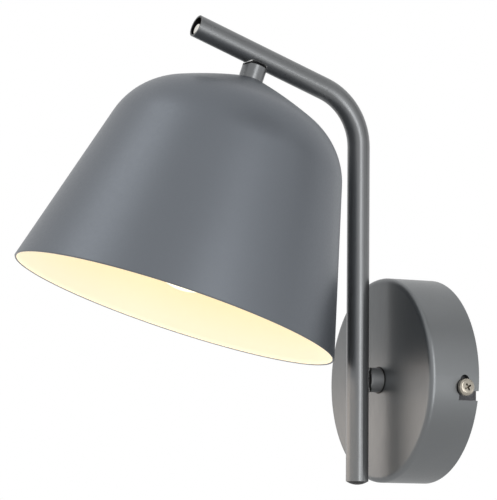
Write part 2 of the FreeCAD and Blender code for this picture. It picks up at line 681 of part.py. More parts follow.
def arm_plugs():
    """Black domed plug in the tube's foot and a pale plug just inside the open upper end."""
    bore = "(Places.bore_radius - Sizes.fit_gap)"
    bulge = "Sizes.foot_plug_bulge"
    lip = "(Places.tube_radius - Sizes.foot_plug_inset)"
    dome = f"(({lip} * {lip} + {bulge} * {bulge}) / (2 * {bulge}))"
    foot = turned_body("foot_plug_body", [
        ("0", f"-{bulge}"), Arc(dome, 1), (lip, "0"), (bore, "0"),
        (bore, "Sizes.foot_plug_depth"), ("0", "Sizes.foot_plug_depth")])
    foot.Placement = at(0, -amount("Sizes.arm_drop"), amount("Places.tube_out"), Rotation(X_AXIS, -90))
    keep(foot, "tube_foot_plug", WALL)
    end = turned_body("end_plug_body", rod_path(
        bore, "-(Sizes.end_plug_inset + Sizes.end_plug_depth)", "-Sizes.end_plug_inset"))
    end.Placement = at(0, amount("Places.end_up"), amount("Places.end_out"),
                       Rotation(X_AXIS, -amount("Sizes.upper_slope")))
    keep(end, "tube_end_plug", WALL)


# ---------------------------------------------------------------- stubs and saddles
def stub(name, label, seat, gap, frame, tube_turn):
    """Round stub from its flat seat to a coped, chamfered end, below the tube's axis at z = 0."""
    reach = "(0 - Sizes.stub_end)"
    chamfer = "Sizes.stub_chamfer"
    hole = "(Places.hollow_radius + Sizes.pivot_gap)"
    body = turned_body(name + "_body", [
        (hole, f"-{seat}"), ("Places.stub_radius", f"-{seat}"),
        ("Places.stub_radius", f"{reach} - {chamfer}"), (f"Places.stub_radius - {chamfer}", reach),
        (hole, reach)])
    cope = cylinder(name + "_cope", f"Places.tube_radius + {gap} + Sizes.liner_thick"
                    " + Sizes.spacer_thick + Sizes.fit_gap * 2", f"Sizes.stub_dia * {OVERRUN}",
                    Placement(tube_turn.multVec(Vector(0, 0, -amount("Sizes.stub_dia"))), tube_turn))
    keep(cut_away(name, body, [cope]), label, frame)


def saddle(name, label, inner, thick, frame, tube_turn):
    """A layer of the saddle: part of a ring round the tube, trimmed to the stub's outline and drilled."""
    length = f"Sizes.stub_dia * {OVERRUN}"
    along = Placement(tube_turn.multVec(Vector(0, 0, -amount("Sizes.stub_dia"))), tube_turn)
    ring = cut_away(name + "_ring", cylinder(name + "_outer", f"{inner} + {thick}", length, along),
                    [cylinder(name + "_inner", inner, length, along)])
    trim = turned_body(name + "_trim", tube_path(
        "Places.hollow_radius + Sizes.pivot_gap", "Places.stub_radius",
        "-Sizes.stub_dia", "-Sizes.saddle_nose"))
    keep(shared_space(name, ring, trim), label, frame)


def saddle_set(prefix, seat, gap, frame, tube_turn):
    """Bright liner on the tube, black spacer over it, and the stub that both sit on."""
    liner = f"(Places.tube_radius + {gap})"
    spacer = f"({liner} + Sizes.liner_thick + Sizes.fit_gap)"
    saddle(prefix + "_liner_piece", prefix + "_saddle_liner", liner, "Sizes.liner_thick", frame, tube_turn)
    saddle(prefix + "_spacer_piece", prefix + "_saddle_spacer", spacer, "Sizes.spacer_thick",
           frame, tube_turn)
    stub(prefix + "_stub_piece", prefix + "_stub", seat, gap, frame, tube_turn)


def barrel_nut(prefix, gap, frame, tube_turn, wire_side):
    """Barrel nut inside the tube, drilled across for the hollow screw and along for the wires."""
    half = amount("Sizes.barrel_length") / 2
    body = cylinder(prefix + "_barrel_rod", f"Places.bore_radius - {gap}", "Sizes.barrel_length",
                    Placement(tube_turn.multVec(Vector(0, 0, -half)), tube_turn))
    thread = cylinder(prefix + "_barrel_thread", "Places.hollow_radius + Sizes.fit_gap", "Sizes.tube_dia",
                      at(z=-amount("Sizes.tube_dia") + amount("Sizes.flex_dia") / 2))
    start = 0.0 if wire_side > 0 else -amount("Sizes.barrel_length")
    way = cylinder(prefix + "_barrel_way", "Sizes.barrel_wire_dia / 2", "Sizes.barrel_length",
                   Placement(tube_turn.multVec(Vector(0, 0, start)), tube_turn))
    keep(cut_away(prefix + "_barrel_piece", body, [thread, way]), prefix + "_barrel_nut", frame)


def wall_joint():
    """Everything on the wall stub's axis, from the arm tube back to the lock nut inside the canopy."""
    frame = WALL * at(z=amount("Places.tube_out"))
    tube_turn = Rotation(X_AXIS, -90)
    saddle_set("wall", "Sizes.face_to_tube", "Sizes.fit_gap", frame, tube_turn)
    barrel_nut("wall", "Sizes.fit_gap", frame, tube_turn, 1)
    inside = "(Sizes.face_to_tube + Sizes.canopy_wall)"
    disc_low = f"({inside} + Sizes.washer_thick + Sizes.stop_disc_thick)"
    nut_low = f"({disc_low} + Sizes.nut_thick)"
    hole = "Places.hollow_radius + Sizes.fit_gap"
    screw = turned_body("wall_hollow_body", tube_path(
        "Sizes.hollow_bore / 2", "Places.hollow_radius",
        f"-({nut_low} + Sizes.thread_tail)", "-Sizes.hollow_reach"))
    keep(screw, "wall_hollow_screw", frame)
    washer = turned_body("friction_body", tube_path(
        hole, "Sizes.washer_dia / 2", f"-({inside} + Sizes.washer_thick)", f"-{inside}"))
    keep(washer, "friction_washer", frame)
    # the stop disc's outer rim is cut away over the arc that the canopy's pin travels through
    pin_half = math.degrees(math.asin(amount("Sizes.stop_pin_dia / 2 / Sizes.stop_pin_place")))
    free = amount("Sizes.arm_travel") + pin_half + amount("Sizes.stop_slack")
    disc = turned_body("stop_disc_body", tube_path(
        hole, "Sizes.stop_disc_dia / 2", f"-{disc_low}", f"-({inside} + Sizes.washer_thick)"))
    window = cylinder("stop_window_disc", "Sizes.stop_disc_dia", f"Sizes.stop_disc_thick * {OVERRUN}",
                      at(z=-amount(disc_low) - amount("Sizes.stop_disc_thick"),
                         turn=Rotation(Z_AXIS, 90 - free)), angle=2 * free)
    hub = cylinder("stop_window_hub", "Sizes.washer_dia / 2", f"Sizes.stop_disc_thick * {OVERRUN}",
                   at(z=-amount(disc_low) - amount("Sizes.stop_disc_thick")))
    keep(cut_away("stop_disc_piece", disc, [cut_away("stop_window", window, [hub])]), "stop_disc", frame)
    keep(hex_nut("lock_nut_piece", "Sizes.nut_across", "Sizes.nut_thick", hole, nut_low), "lock_nut", frame)


def hex_nut(name, across, thick, hole, low):
    """A six-sided nut on the z axis whose low face is a drop below the origin."""
    prism = doc.addObject("Part::Prism", name + "_prism")
    prism.Polygon = 6
    prism.setExpression("Circumradius", f"{across} / 2 / cos(30)")
    prism.setExpression("Height", thick)
    bore = cylinder(name + "_bore", hole, f"{thick} * {OVERRUN}", at(z=-amount(thick)))
    nut = cut_away(name, prism, [bore])
    nut.Placement = at(z=-amount(low))
    return nut


def shade_joint():
    """The shade's saddle, stub, barrel nut and hollow screw, and the washer under its crown."""
    saddle_set("shade", "Sizes.crown_drop", "Sizes.saddle_gap", SHADE, RUN_TURN)
    barrel_nut("shade", "Sizes.pivot_gap", SHADE, RUN_TURN, -1)
    bore = "Sizes.hollow_bore / 2"
    neck_end = "-(Places.neck_drop + Sizes.neck_length)"
    body = turned_body("shade_hollow_body", [
        (bore, neck_end), ("Sizes.neck_dia / 2", neck_end),
        ("Sizes.neck_dia / 2", "-Places.collar_drop"), ("Places.hollow_radius", "-Places.collar_drop"),
        ("Places.hollow_radius", "-Sizes.hollow_reach"), (bore, "-Sizes.hollow_reach")])
    keep(body, "shade_hollow_screw", SHADE)
    collar = hex_nut("collar_piece", "Sizes.collar_across", "Sizes.collar_thick",
                     "Sizes.neck_dia / 2 + Sizes.fit_gap", "Places.neck_drop")
    keep(collar, "crown_nut", SHADE)
    washer = turned_body("crown_washer_body", tube_path(
        "Places.hollow_radius + Sizes.fit_gap", "Sizes.crown_washer_dia / 2", "-Places.collar_drop",
        "-Places.washer_drop"))
    keep(washer, "crown_washer", SHADE)


# ---------------------------------------------------------------- shade
def shade_shell():
    """Spun shade: flat seat, shallow crown, round shoulder and straight cone, one wall thick."""
    wall = "Sizes.shade_wall"
    stations = [("Places.shoulder_x", "Places.shoulder_y", "Sizes.shoulder_slope"),
                ("Places.cone_x", "Places.cone_y", "(90 - Places.cone_angle)"),
                ("Sizes.rim_dia / 2", "Sizes.rim_drop", "(90 - Places.cone_angle)")]
    outer = [(x, f"-({y})") for x, y, slope in stations]
    inner = [(f"{x} - {wall} * sin({slope})", f"-({y} + {wall} * cos({slope}))")
             for x, y, slope in stations]
    hole = "(Places.hollow_radius + Sizes.fit_gap)"
    body = turned_body("shade_body", [
        (hole, "-Sizes.crown_drop"), ("Places.crown_x", "-Sizes.crown_drop"), Arc("Sizes.crown_radius", -1),
        outer[0], Arc("Sizes.shoulder_radius", -1), outer[1], outer[2], inner[2], inner[1],
        Arc(f"(Sizes.shoulder_radius - {wall})", 1), inner[0], Arc("Places.crown_in_radius", 1),
        ("Places.crown_in_x", "-Places.washer_drop"), (hole, "-Places.washer_drop")])
    keep(body, "shade_shell", SHADE)


# ---------------------------------------------------------------- lampholder
def lampholder():
    """Small screw lampholder under the crown: cap, core, skirt, threaded sleeve and spring contact."""
    radius, wall = "Sizes.holder_dia / 2", "Sizes.holder_wall"
    edge = "Sizes.holder_cap_edge"
    top, skirt, mouth = "Places.neck_drop", "Places.skirt_drop", "Places.mouth_drop"
    neck = "(Sizes.neck_dia / 2 + Sizes.fit_gap)"
    cap = turned_body("holder_cap_body", [
        (neck, f"-{top}"), (f"{radius} - {edge}", f"-{top}"), Arc(edge, -1), (radius, f"-({top} + {edge})"),
        (radius, f"-{skirt}"), (f"{radius} - {wall}", f"-{skirt}"),
        (f"{radius} - {wall}", f"-({top} + {edge})"), Arc(f"({edge} - {wall})", 1),
        (f"{radius} - {edge}", f"-({top} + {wall})"), (neck, f"-({top} + {wall})")])
    keep(cap, "holder_cap", SHADE)
    inner = f"({radius} - {wall} - Sizes.fit_gap)"
    core = turned_body("holder_core_body", tube_path(
        "Sizes.core_bore / 2", inner, "-Places.core_end", "-(Places.core_drop + Sizes.fit_gap * 2)"))
    keep(core, "holder_core", SHADE)
    body = turned_body("holder_body_body", tube_path(
        f"{radius} - {wall}", radius, f"-{mouth}", f"-{skirt}"))
    keep(body, "holder_skirt", SHADE)
    sleeve = turned_body("holder_sleeve_body", tube_path(
        "Sizes.sleeve_dia / 2 - Sizes.sleeve_wall", "Sizes.sleeve_dia / 2",
        "-Places.sleeve_end", "-Places.core_end"))
    keep(sleeve, "holder_sleeve", SHADE)
    contact = turned_body("holder_contact_body", rod_path(
        "Sizes.contact_dia / 2", "-Places.bulb_contact_drop", "-Places.core_end"))
    keep(contact, "holder_contact", SHADE)


# ---------------------------------------------------------------- bulb
def bulb():
    """Round opal bulb with its small screw base, insulating button, solder contact and stem."""
    base_radius, wall = "Sizes.base_dia / 2", "Sizes.base_wall"
    drop, mouth = "Places.base_drop", "Places.base_mouth"
    base = turned_body("bulb_base_body", [
        (f"{base_radius} - {wall}", f"-{mouth}"), (base_radius, f"-{mouth}"), (base_radius, f"-{drop}"),
        ("Sizes.bulb_contact_dia / 2", f"-{drop}"), ("Sizes.bulb_contact_dia / 2", f"-({drop} + {wall})"),
        (f"{base_radius} - {wall}", f"-({drop} + {wall})")])
    keep(base, "bulb_base", SHADE)
    button = turned_body("bulb_button_body", [
        ("0", f"-{drop}"), (f"{base_radius} - Sizes.button_rim", f"-{drop}"),
        ("Sizes.bulb_contact_dia / 2", "-Places.insulator_drop"), ("0", "-Places.insulator_drop")])
    keep(button, "bulb_insulator", SHADE)
    contact = turned_body("bulb_contact_body", rod_path(
        "Sizes.bulb_contact_dia / 2", "-Places.insulator_drop", "-Places.bulb_contact_drop"))
    keep(contact, "bulb_contact", SHADE)

    ball, glass = "(Sizes.bulb_dia / 2)", "Sizes.bulb_wall"
    centre = f"({mouth} + Sizes.bulb_reach - {ball})"
    neck = "(Sizes.bulb_neck_dia / 2)"
    shoulder = f"({centre} - sqrt({ball} * {ball} - {neck} * {neck}))"
    thin = f"({ball} - {glass})"
    neck_in = f"({neck} - {glass})"
    shoulder_in = f"({centre} - sqrt({thin} * {thin} - {neck_in} * {neck_in}))"
    root = f"({base_radius} - {wall} - Sizes.fit_gap)"
    root_in = f"({root} - {glass})"
    seal, lip, flare = (f"-({mouth} {step})" for step in
                        ("- Sizes.bulb_seal", "+ Sizes.fit_gap", "+ Sizes.bulb_flare"))
    shell = turned_body("bulb_glass_body", [
        (root, seal), (root, lip), (neck, flare), (neck, f"-{shoulder}"),
        Arc(ball, -1), (ball, f"-{centre}"), Arc(ball, -1), ("0", f"-({centre} + {ball})"),
        ("0", f"-({centre} + {thin})"), Arc(thin, 1), (thin, f"-{centre}"), Arc(thin, 1),
        (neck_in, f"-{shoulder_in}"), (neck_in, flare), (root_in, lip), (root_in, seal)])
    keep(shell, "bulb_glass", SHADE)
    stem_root, stem_tip = f"({root_in} - Sizes.fit_gap)", f"-({mouth} + Sizes.stem_length)"
    stem = turned_body("bulb_stem_body", [
        ("0", stem_tip), ("Sizes.stem_dia / 2", stem_tip), ("Sizes.stem_dia / 2", f"-{mouth}"),
        (stem_root, f"-({mouth} - Sizes.button_rim)"), (stem_root, seal), ("0", seal)])
    keep(stem, "bulb_stem", SHADE)


# ---------------------------------------------------------------- inner flex
def wire_from(points, radii):
    """A wire of straight runs joined by tangent arcs."""
    edges = []
    start = points[0]
    for corner, following, radius in zip(points[1:-1], points[2:], radii):
        into = (corner - start).normalize()
        away = (following - corner).normalize()
        cut = radius * math.tan(into.getAngle(away) / 2)
        first, last = corner - into * cut, corner + away * cut
        inward = (away - into).normalize()
        middle = corner + inward * (radius / math.cos(into.getAngle(away) / 2) - radius)
        edges.append(Part.LineSegment(start, first).toShape())
        edges.append(Part.Arc(first, middle, last).toShape())
        start = last
    edges.append(Part.LineSegment(start, points[-1]).toShape())
    return Part.Wire(edges)


def flex(label, points, radii, frame):
    """Round flex swept along its route."""
    route = wire_from(points, radii)
    ahead = (points[1] - points[0]).normalize()
    section = Part.Wire([Part.Circle(points[0], ahead, amount("Sizes.flex_dia / 2")).toShape()])
    solid = doc.addObject("Part::Feature", label + "_solid")
    solid.Shape = route.makePipeShell([section], True, False)
    keep(solid, label, frame)
    expected = math.pi * amount("Sizes.flex_dia / 2") ** 2 * route.Length
    print(f"{label}: length {route.Length:.1f}, volume {solid.Shape.Volume:.1f} of {expected:.1f}")


def inner_flexes():
    """Flex from the terminal block to the pivot, up inside the arm, and down into the lampholder."""
    flex_radius = amount("Sizes.flex_dia / 2")
    apart = amount("Sizes.flex_gap") + flex_radius
    pivot_end = amount("Places.tube_out") - apart
    pole = amount("Sizes.block_place + Sizes.block_wide / 2")
    level = amount("Sizes.bracket_thick + Sizes.block_high / 2")
    top = amount("Sizes.block_long / 2")
    loop = top + amount("Sizes.flex_loop")
    turn = level + amount("Sizes.flex_rise")
    bends = [amount("Sizes.flex_bend")] * 3
    flex("canopy_flex", [
        Vector(0, 0, pivot_end), Vector(0, 0, turn), Vector(0, loop, level),
        Vector(pole, loop, level), Vector(pole, top + amount("Sizes.fit_gap"), level)], bends, WALL)

    tube_out = amount("Places.tube_out")
    run = Vector(0, amount("sin(Sizes.upper_slope)"), amount("cos(Sizes.upper_slope)"))
    shade = Vector(0, amount("Places.shade_up"), amount("Places.shade_out"))
    bend = Vector(0, amount("Sizes.arm_rise"), tube_out)
    sweep = amount("Sizes.bend_radius * tan((90 - Sizes.upper_slope) / 2)")
    flex("arm_flex", [Vector(0, apart, tube_out), bend + Vector(0, sweep, 0), shade - run * apart],
         [amount("Sizes.bend_radius")], WALL)

    flex("shade_flex", [Vector(0, 0, 0), Vector(0, 0, -amount("Places.core_drop"))], [], SHADE)


# ---------------------------------------------------------------- build, check and write
def check_model():
    """Stop if any object failed or any piece is empty or broken."""
    doc.recompute()
    for item in doc.Objects:
        if "Invalid" in item.State or "Error" in item.State:
            raise RuntimeError(f"{item.Label} did not build: {item.State}")
    for piece in subparts:
        if piece.Shape.isNull() or not piece.Shape.isValid() or not piece.Shape.Solids:
            raise RuntimeError(f"{piece.Label} has no sound solid")


def write_pieces():
    """One file to a sub-part, named after it."""
    os.makedirs("parts", exist_ok=True)
    for piece in subparts:
        piece.Shape.exportStep(f"parts/{piece.Label}.step")


wall_bracket()
side_screws()
terminal_block()
earth_screw()
canopy()
arm_tube()
arm_plugs()
wall_joint()
shade_joint()
shade_shell()
lampholder()
bulb()
inner_flexes()
check_model()
write_pieces()
for piece in subparts:
    room = piece.Shape.BoundBox
    print(f"{piece.Label:22s} solids {len(piece.Shape.Solids)} volume {piece.Shape.Volume:9.1f} "
          f"x {room.XMin:7.1f}..{room.XMax:7.1f} y {room.YMin:7.1f}..{room.YMax:7.1f} "
          f"z {room.ZMin:7.1f}..{room.ZMax:7.1f}")
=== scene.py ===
# %% [markdown]
# # A bedside wall reading lamp
# A round metal canopy sits on the wall. A bent tube swivels on it, and a spun metal shade hangs
# from the tube's sloping end. The fixed frame that is loaded here already holds every part at its
# real size and place. Blender adds what the eye looks for: the finish of the metal, the spun
# shade with its pale inside, real screw heads, the terminal block, the flex and the lampholder.
#
# The frame is in metres, and lamp makers think in millimetres, so sizes below are written in
# millimetres and multiplied by MM where Blender needs them.

# %% Load the fixed frame
import json
import math

import bpy
from mathutils import Matrix, Vector


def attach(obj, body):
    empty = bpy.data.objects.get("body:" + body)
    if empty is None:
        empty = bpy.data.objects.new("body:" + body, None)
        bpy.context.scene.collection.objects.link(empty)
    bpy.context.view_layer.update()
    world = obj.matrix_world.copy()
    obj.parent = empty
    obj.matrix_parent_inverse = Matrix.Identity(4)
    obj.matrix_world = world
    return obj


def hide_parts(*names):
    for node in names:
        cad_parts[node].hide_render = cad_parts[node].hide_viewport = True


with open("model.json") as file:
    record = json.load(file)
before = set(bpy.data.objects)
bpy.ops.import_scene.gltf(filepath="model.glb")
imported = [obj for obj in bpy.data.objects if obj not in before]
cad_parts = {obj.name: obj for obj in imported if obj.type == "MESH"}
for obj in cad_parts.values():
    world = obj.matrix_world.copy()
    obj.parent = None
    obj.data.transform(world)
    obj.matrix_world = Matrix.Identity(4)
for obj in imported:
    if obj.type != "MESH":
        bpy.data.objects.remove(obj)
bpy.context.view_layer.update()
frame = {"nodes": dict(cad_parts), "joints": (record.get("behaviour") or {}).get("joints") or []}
nodes = frame["nodes"]
MM = 0.001

# %% [markdown]
# ## The camera
# The photograph was taken with a long lens, a little below the canopy and well to the lamp's
# right. The angles and the distance come from fitting the lamp's outline in perspective. Two
# ways lead to such a camera: a Track To constraint on an empty, or a matrix. A constraint can't
# give the half degree that the photographer's camera was rolled, so the matrix is the better way.
# A camera in Blender looks along its own -Z, so the matrix is made of the three directions that
# belong to the picture: right, up, and back towards the photographer.

# %% Camera
AZIMUTH, ELEVATION, ROLL = (math.radians(angle) for angle in (62.963, -6.055, 0.501))
CAMERA_PLACE = Vector((1.18167, -0.70332, -0.08072))
FOCAL_LENGTH_IN_PIXELS = 2780.8
LONG_SIDE_IN_PIXELS = 500
SENSOR = 36.0
NEAREST_SEEN = 0.05

back = Vector((math.sin(AZIMUTH) * math.cos(ELEVATION),
               -math.cos(AZIMUTH) * math.cos(ELEVATION),
               math.sin(ELEVATION)))
level = Vector((0, 0, 1)).cross(back).normalized()
upright = back.cross(level)
right = math.cos(ROLL) * level + math.sin(ROLL) * upright
up = math.cos(ROLL) * upright - math.sin(ROLL) * level

bpy.ops.object.camera_add()
camera = bpy.context.object
camera_axes = Matrix((right, up, back)).transposed()
camera.matrix_world = Matrix.Translation(CAMERA_PLACE) @ camera_axes.to_4x4()
camera.data.sensor_width = SENSOR
camera.data.lens = FOCAL_LENGTH_IN_PIXELS / LONG_SIDE_IN_PIXELS * SENSOR
camera.data.clip_start = NEAREST_SEEN
bpy.context.scene.camera = camera
bpy.context.scene.view_settings.view_transform = "Standard"
print(f"lens {camera.data.lens:.0f} mm, {CAMERA_PLACE.length:.2f} m from the canopy")

# %% [markdown]
# ## Room and light
# The lamp is shown on plain white, so the world is white wherever the camera, a reflection or
# clear glass looks at it. What lights the object is set apart from that, a little lower, so that
# a colour comes out about as it is written. The Light Path node tells the two apart, which a
# second set of lamps or a backdrop could only do from one side. A wall lamp hangs well above the
# floor, so the pale floor lies far below.

# %% World
WHITE = (1, 1, 1, 1)
FILL_LIGHT, SEEN_LIGHT = 0.85, 1.0
FLOOR_DROP, FLOOR_SIDE = 1.45, 12
FLOOR_GREY, FLOOR_ROUGHNESS = 0.86, 0.8

world = bpy.data.worlds.new("white_room")
bpy.context.scene.world = world
world.use_nodes = True
tree = world.node_tree
background = tree.nodes["Background"]
background.inputs["Color"].default_value = WHITE
paths = tree.nodes.new("ShaderNodeLightPath")
seen = tree.nodes.new("ShaderNodeMath")
seen.operation = "MAXIMUM"
seen_at_all = tree.nodes.new("ShaderNodeMath")
seen_at_all.operation = "MAXIMUM"
strength = tree.nodes.new("ShaderNodeMapRange")
strength.inputs["To Min"].default_value = FILL_LIGHT
strength.inputs["To Max"].default_value = SEEN_LIGHT
tree.links.new(paths.outputs["Is Camera Ray"], seen.inputs[0])
tree.links.new(paths.outputs["Is Glossy Ray"], seen.inputs[1])
tree.links.new(seen.outputs[0], seen_at_all.inputs[0])
tree.links.new(paths.outputs["Is Transmission Ray"], seen_at_all.inputs[1])
tree.links.new(seen_at_all.outputs[0], strength.inputs["Value"])
tree.links.new(strength.outputs["Result"], background.inputs["Strength"])
print(f"the world lights the lamp at {FILL_LIGHT} and is seen at {SEEN_LIGHT}")

# %% Floor
bpy.ops.mesh.primitive_plane_add(size=FLOOR_SIDE, location=(0, 0, -FLOOR_DROP))
floor = bpy.context.object
floor.name = "floor"
floor_paint = bpy.data.materials.new("pale_floor")
floor_paint.use_nodes = True
paint_shader = floor_paint.node_tree.nodes["Principled BSDF"]
paint_shader.inputs["Base Color"].default_value = (FLOOR_GREY, FLOOR_GREY, FLOOR_GREY, 1)
paint_shader.inputs["Roughness"].default_value = FLOOR_ROUGHNESS
floor.data.materials.append(floor_paint)
print(f"pale floor {FLOOR_DROP} m below the canopy")

# %% [markdown]
# ## Studio lamps
# Metal shows what stands around it. The bright stripe down the tube is the picture of a tall
# softbox that stands level with the wall, a wide one high up in front lights the shade's left
# shoulder, a small low one draws the thin stripe along the tube's upper run, and a dim one
# low behind lifts the edges on the right. Two grey cards, one behind and one above, take
# some white out of the right edges and the tube's back, the photographer's usual way to give a
# round shape its form. Each is placed by the compass angle it comes from.

# %% Tools for lamps
AIM = Vector((0, -0.09, 0.05))


def from_angle(azimuth, elevation, distance):
    """A point round the lamp, as seen from it: 0 is the room, 90 the lamp's right."""
    a, e = math.radians(azimuth), math.radians(elevation)
    return AIM + distance * Vector((math.sin(a) * math.cos(e), -math.cos(a) * math.cos(e),
                                    math.sin(e)))


def facing(place, target):
    """The turn that points -Z from a place to a target."""
    return (target - place).to_track_quat("-Z", "Y").to_euler()


def softbox(name, place, width, height, brightness, target=AIM):
    """A rectangular lamp whose own surface is that many times as bright as white paper."""
    bpy.ops.object.light_add(type="AREA", location=place, rotation=facing(place, target))
    lamp = bpy.context.object
    lamp.name = name
    lamp.data.shape = "RECTANGLE"
    lamp.data.size = width
    lamp.data.size_y = height
    lamp.data.energy = brightness * math.pi * width * height
    lamp.visible_camera = False
    print(f"{name}: {brightness} times paper white, {(target - place).length:.2f} m away")
    return lamp


def grey_card(name, place, width, height, greyness):
    """A matt card that only reflections see, to take some of the white out of them."""
    bpy.ops.mesh.primitive_plane_add(size=1, location=place, rotation=facing(place, AIM))
    card = bpy.context.object
    card.name = name
    card.scale = (width, height, 1)
    grey = bpy.data.materials.new(name)
    grey.use_nodes = True
    grey_shader = grey.node_tree.nodes["Principled BSDF"]
    grey_shader.inputs["Base Color"].default_value = (greyness, greyness, greyness, 1)
    grey_shader.inputs["Roughness"].default_value = 1.0
    card.data.materials.append(grey)
    card.visible_camera = False
    card.visible_diffuse = False
    card.visible_shadow = False
    print(f"{name}: a grey of {greyness}, {(AIM - place).length:.2f} m away")
    return card


# %% Softboxes and cards
# name, angle round and angle up in degrees, distance, width and height in metres, brightness
for name, azimuth, elevation, distance, width, height, brightness in (
        ("side_softbox", 91, 0, 1.3, 0.44, 1.3, 3.5),
        ("front_softbox", -12, 49, 1.5, 0.80, 0.6, 1.5),
        ("low_softbox", 111, -9, 1.3, 0.36, 0.18, 3.2),
        ("back_softbox", 145, -14, 1.3, 0.42, 0.36, 1.5)):
    softbox(name, from_angle(azimuth, elevation, distance), width, height, brightness)
# the same, with the card's grey last
for name, azimuth, elevation, distance, width, height, greyness in (
        ("wall_card", 154, 22, 0.9, 0.28, 0.42, 0.45),
        ("roof_card", 118, 52, 0.9, 0.50, 0.42, 0.55)):
    grey_card(name, from_angle(azimuth, elevation, distance), width, height, greyness)

# %% [markdown]
# ## Warm bounce
# The lit shade throws warm light into the room, and the canopy's lower half and the tube's foot
# mirror what it falls on. A coloured wall would do it, but it would show from other sides, so a
# small warm softbox stands there instead. It is too close to be placed by compass angles, so it
# gets its place and its target straight.

# %% Bounce
BOUNCE_PLACE, BOUNCE_TARGET = Vector((-0.155, -0.196, -0.022)), Vector((0, -0.035, -0.025))
BOUNCE_WIDTH, BOUNCE_HEIGHT, BOUNCE_BRIGHTNESS = 0.23, 0.07, 1.15
WARM = (1.0, 0.81, 0.67)

bounce = softbox("warm_bounce", BOUNCE_PLACE, BOUNCE_WIDTH, BOUNCE_HEIGHT, BOUNCE_BRIGHTNESS,
                 target=BOUNCE_TARGET)
bounce.data.color = WARM

# %% [markdown]
# ## Small tools for making finishes
# Every finish starts from the same shader. Its plain numbers are written on its own sockets. What
# varies over the surface, such as the grain of brushed metal, could come from a picture of real
# metal, but a picture has to be laid on each piece and shows its seams. Noise that reads the
# piece's own coordinates needs no laying on, has no seams, and stays put when the arm swings.
# Noise keeps mostly between 0.3 and 0.7, so those two are taken as its ends.

# %% Finish tools
NOISE_LOW, NOISE_HIGH = 0.3, 0.7


def finish(name, colour, metallic, roughness):
    """A new material with its plain colour, metalness and roughness."""
    material = bpy.data.materials.new(name)
    material.use_nodes = True
    shader = material.node_tree.nodes["Principled BSDF"]
    shader.inputs["Base Color"].default_value = (*colour, 1)
    shader.inputs["Metallic"].default_value = metallic
    shader.inputs["Roughness"].default_value = roughness
    return material


def noise(material, scale, stretch=(1, 1, 1), detail=3.0, turn=(0, 0, 0), place=(0, 0, 0)):
    """Noise on the piece's own coordinates, drawn out along some of them."""
    tree = material.node_tree
    coordinates = tree.nodes.new("ShaderNodeTexCoord")
    turned_in = tree.nodes.new("ShaderNodeMapping")
    turned_in.vector_type = "TEXTURE"
    turned_in.inputs["Location"].default_value = place
    turned_in.inputs["Rotation"].default_value = turn
    stretched = tree.nodes.new("ShaderNodeMapping")
    stretched.inputs["Scale"].default_value = stretch
    texture = tree.nodes.new("ShaderNodeTexNoise")
    texture.inputs["Scale"].default_value = scale
    texture.inputs["Detail"].default_value = detail
    tree.links.new(coordinates.outputs["Object"], turned_in.inputs["Vector"])
    tree.links.new(turned_in.outputs["Vector"], stretched.inputs["Vector"])
    tree.links.new(stretched.outputs["Vector"], texture.inputs["Vector"])
    return texture


def vary(material, socket, texture, low, high):
    """Let a number of the shader follow the noise between two values."""
    tree = material.node_tree
    between = tree.nodes.new("ShaderNodeMapRange")
    between.inputs["From Min"].default_value = NOISE_LOW
    between.inputs["From Max"].default_value = NOISE_HIGH
    between.inputs["To Min"].default_value = low
    between.inputs["To Max"].default_value = high
    tree.links.new(texture.outputs["Fac"], between.inputs["Value"])
    tree.links.new(between.outputs["Result"], tree.nodes["Principled BSDF"].inputs[socket])


def tint(material, texture, dark, light):
    """Let the colour drift between two near shades."""
    tree = material.node_tree
    ramp = tree.nodes.new("ShaderNodeValToRGB")
    ramp.color_ramp.elements[0].position = NOISE_LOW
    ramp.color_ramp.elements[1].position = NOISE_HIGH
    ramp.color_ramp.elements[0].color = (*dark, 1)
    ramp.color_ramp.elements[1].color = (*light, 1)
    tree.links.new(texture.outputs["Fac"], ramp.inputs["Fac"])
    tree.links.new(ramp.outputs["Color"], tree.nodes["Principled BSDF"].inputs["Base Color"])


def roughen(material, texture, height, strength=0.5):
    """Raise the surface by the noise, by a real height in metres."""
    tree = material.node_tree
    bump = tree.nodes.new("ShaderNodeBump")
    bump.inputs["Distance"].default_value = height
    bump.inputs["Strength"].default_value = strength
    tree.links.new(texture.outputs["Fac"], bump.inputs["Height"])
    tree.links.new(bump.outputs["Normal"], tree.nodes["Principled BSDF"].inputs["Normal"])


def shades_of(colour, share):
    """A colour a little darker and a little lighter than the one given."""
    return [tuple(channel * factor for channel in colour) for factor in (1 - share, 1 + share)]


def dress(names, material):
    """Give CAD parts a finish in place of the plain one they came with."""
    for name in names:
        nodes[name].data.materials.clear()
        nodes[name].data.materials.append(material)


# %% [markdown]
# ## Satin nickel
# The canopy, the tube and the stubs are plated steel with a fine satin grain: dark grey metal that
# blurs what it mirrors. The grain runs along the tube, as it does on tube that is polished on a
# belt, so that noise is drawn out along Z. On the canopy it is drawn out only a little. A real
# grain is a hundredth of a millimetre deep, far too fine to model, so it is a bump, and it varies
# the gloss as well. The colour drifts a few percent over a hand's width, as plating does.

# %% Satin nickel
GRAIN_SCALE, GRAIN_HEIGHT = 1400, 0.000012
GRAIN_SMOOTHER, GRAIN_ROUGHER = 0.03, 0.05
DRIFT_SCALE, DRIFT = 22, 0.035
ALONG_TUBE, ALONG_CANOPY, ALONG_STUB, EVEN = (1, 1, 0.04), (1, 1, 0.1), (1, 0.1, 1), (1, 1, 1)
TUBE_GREY, CANOPY_GREY = (0.158, 0.163, 0.167), (0.174, 0.182, 0.187)
# Painted light: the wall stub is the same nickel as the shade's stub, but its grey is written much
# lighter, standing in for light that its place against the canopy's dark face doesn't give it.
LIT_STUB_GREY = (0.26, 0.265, 0.27)


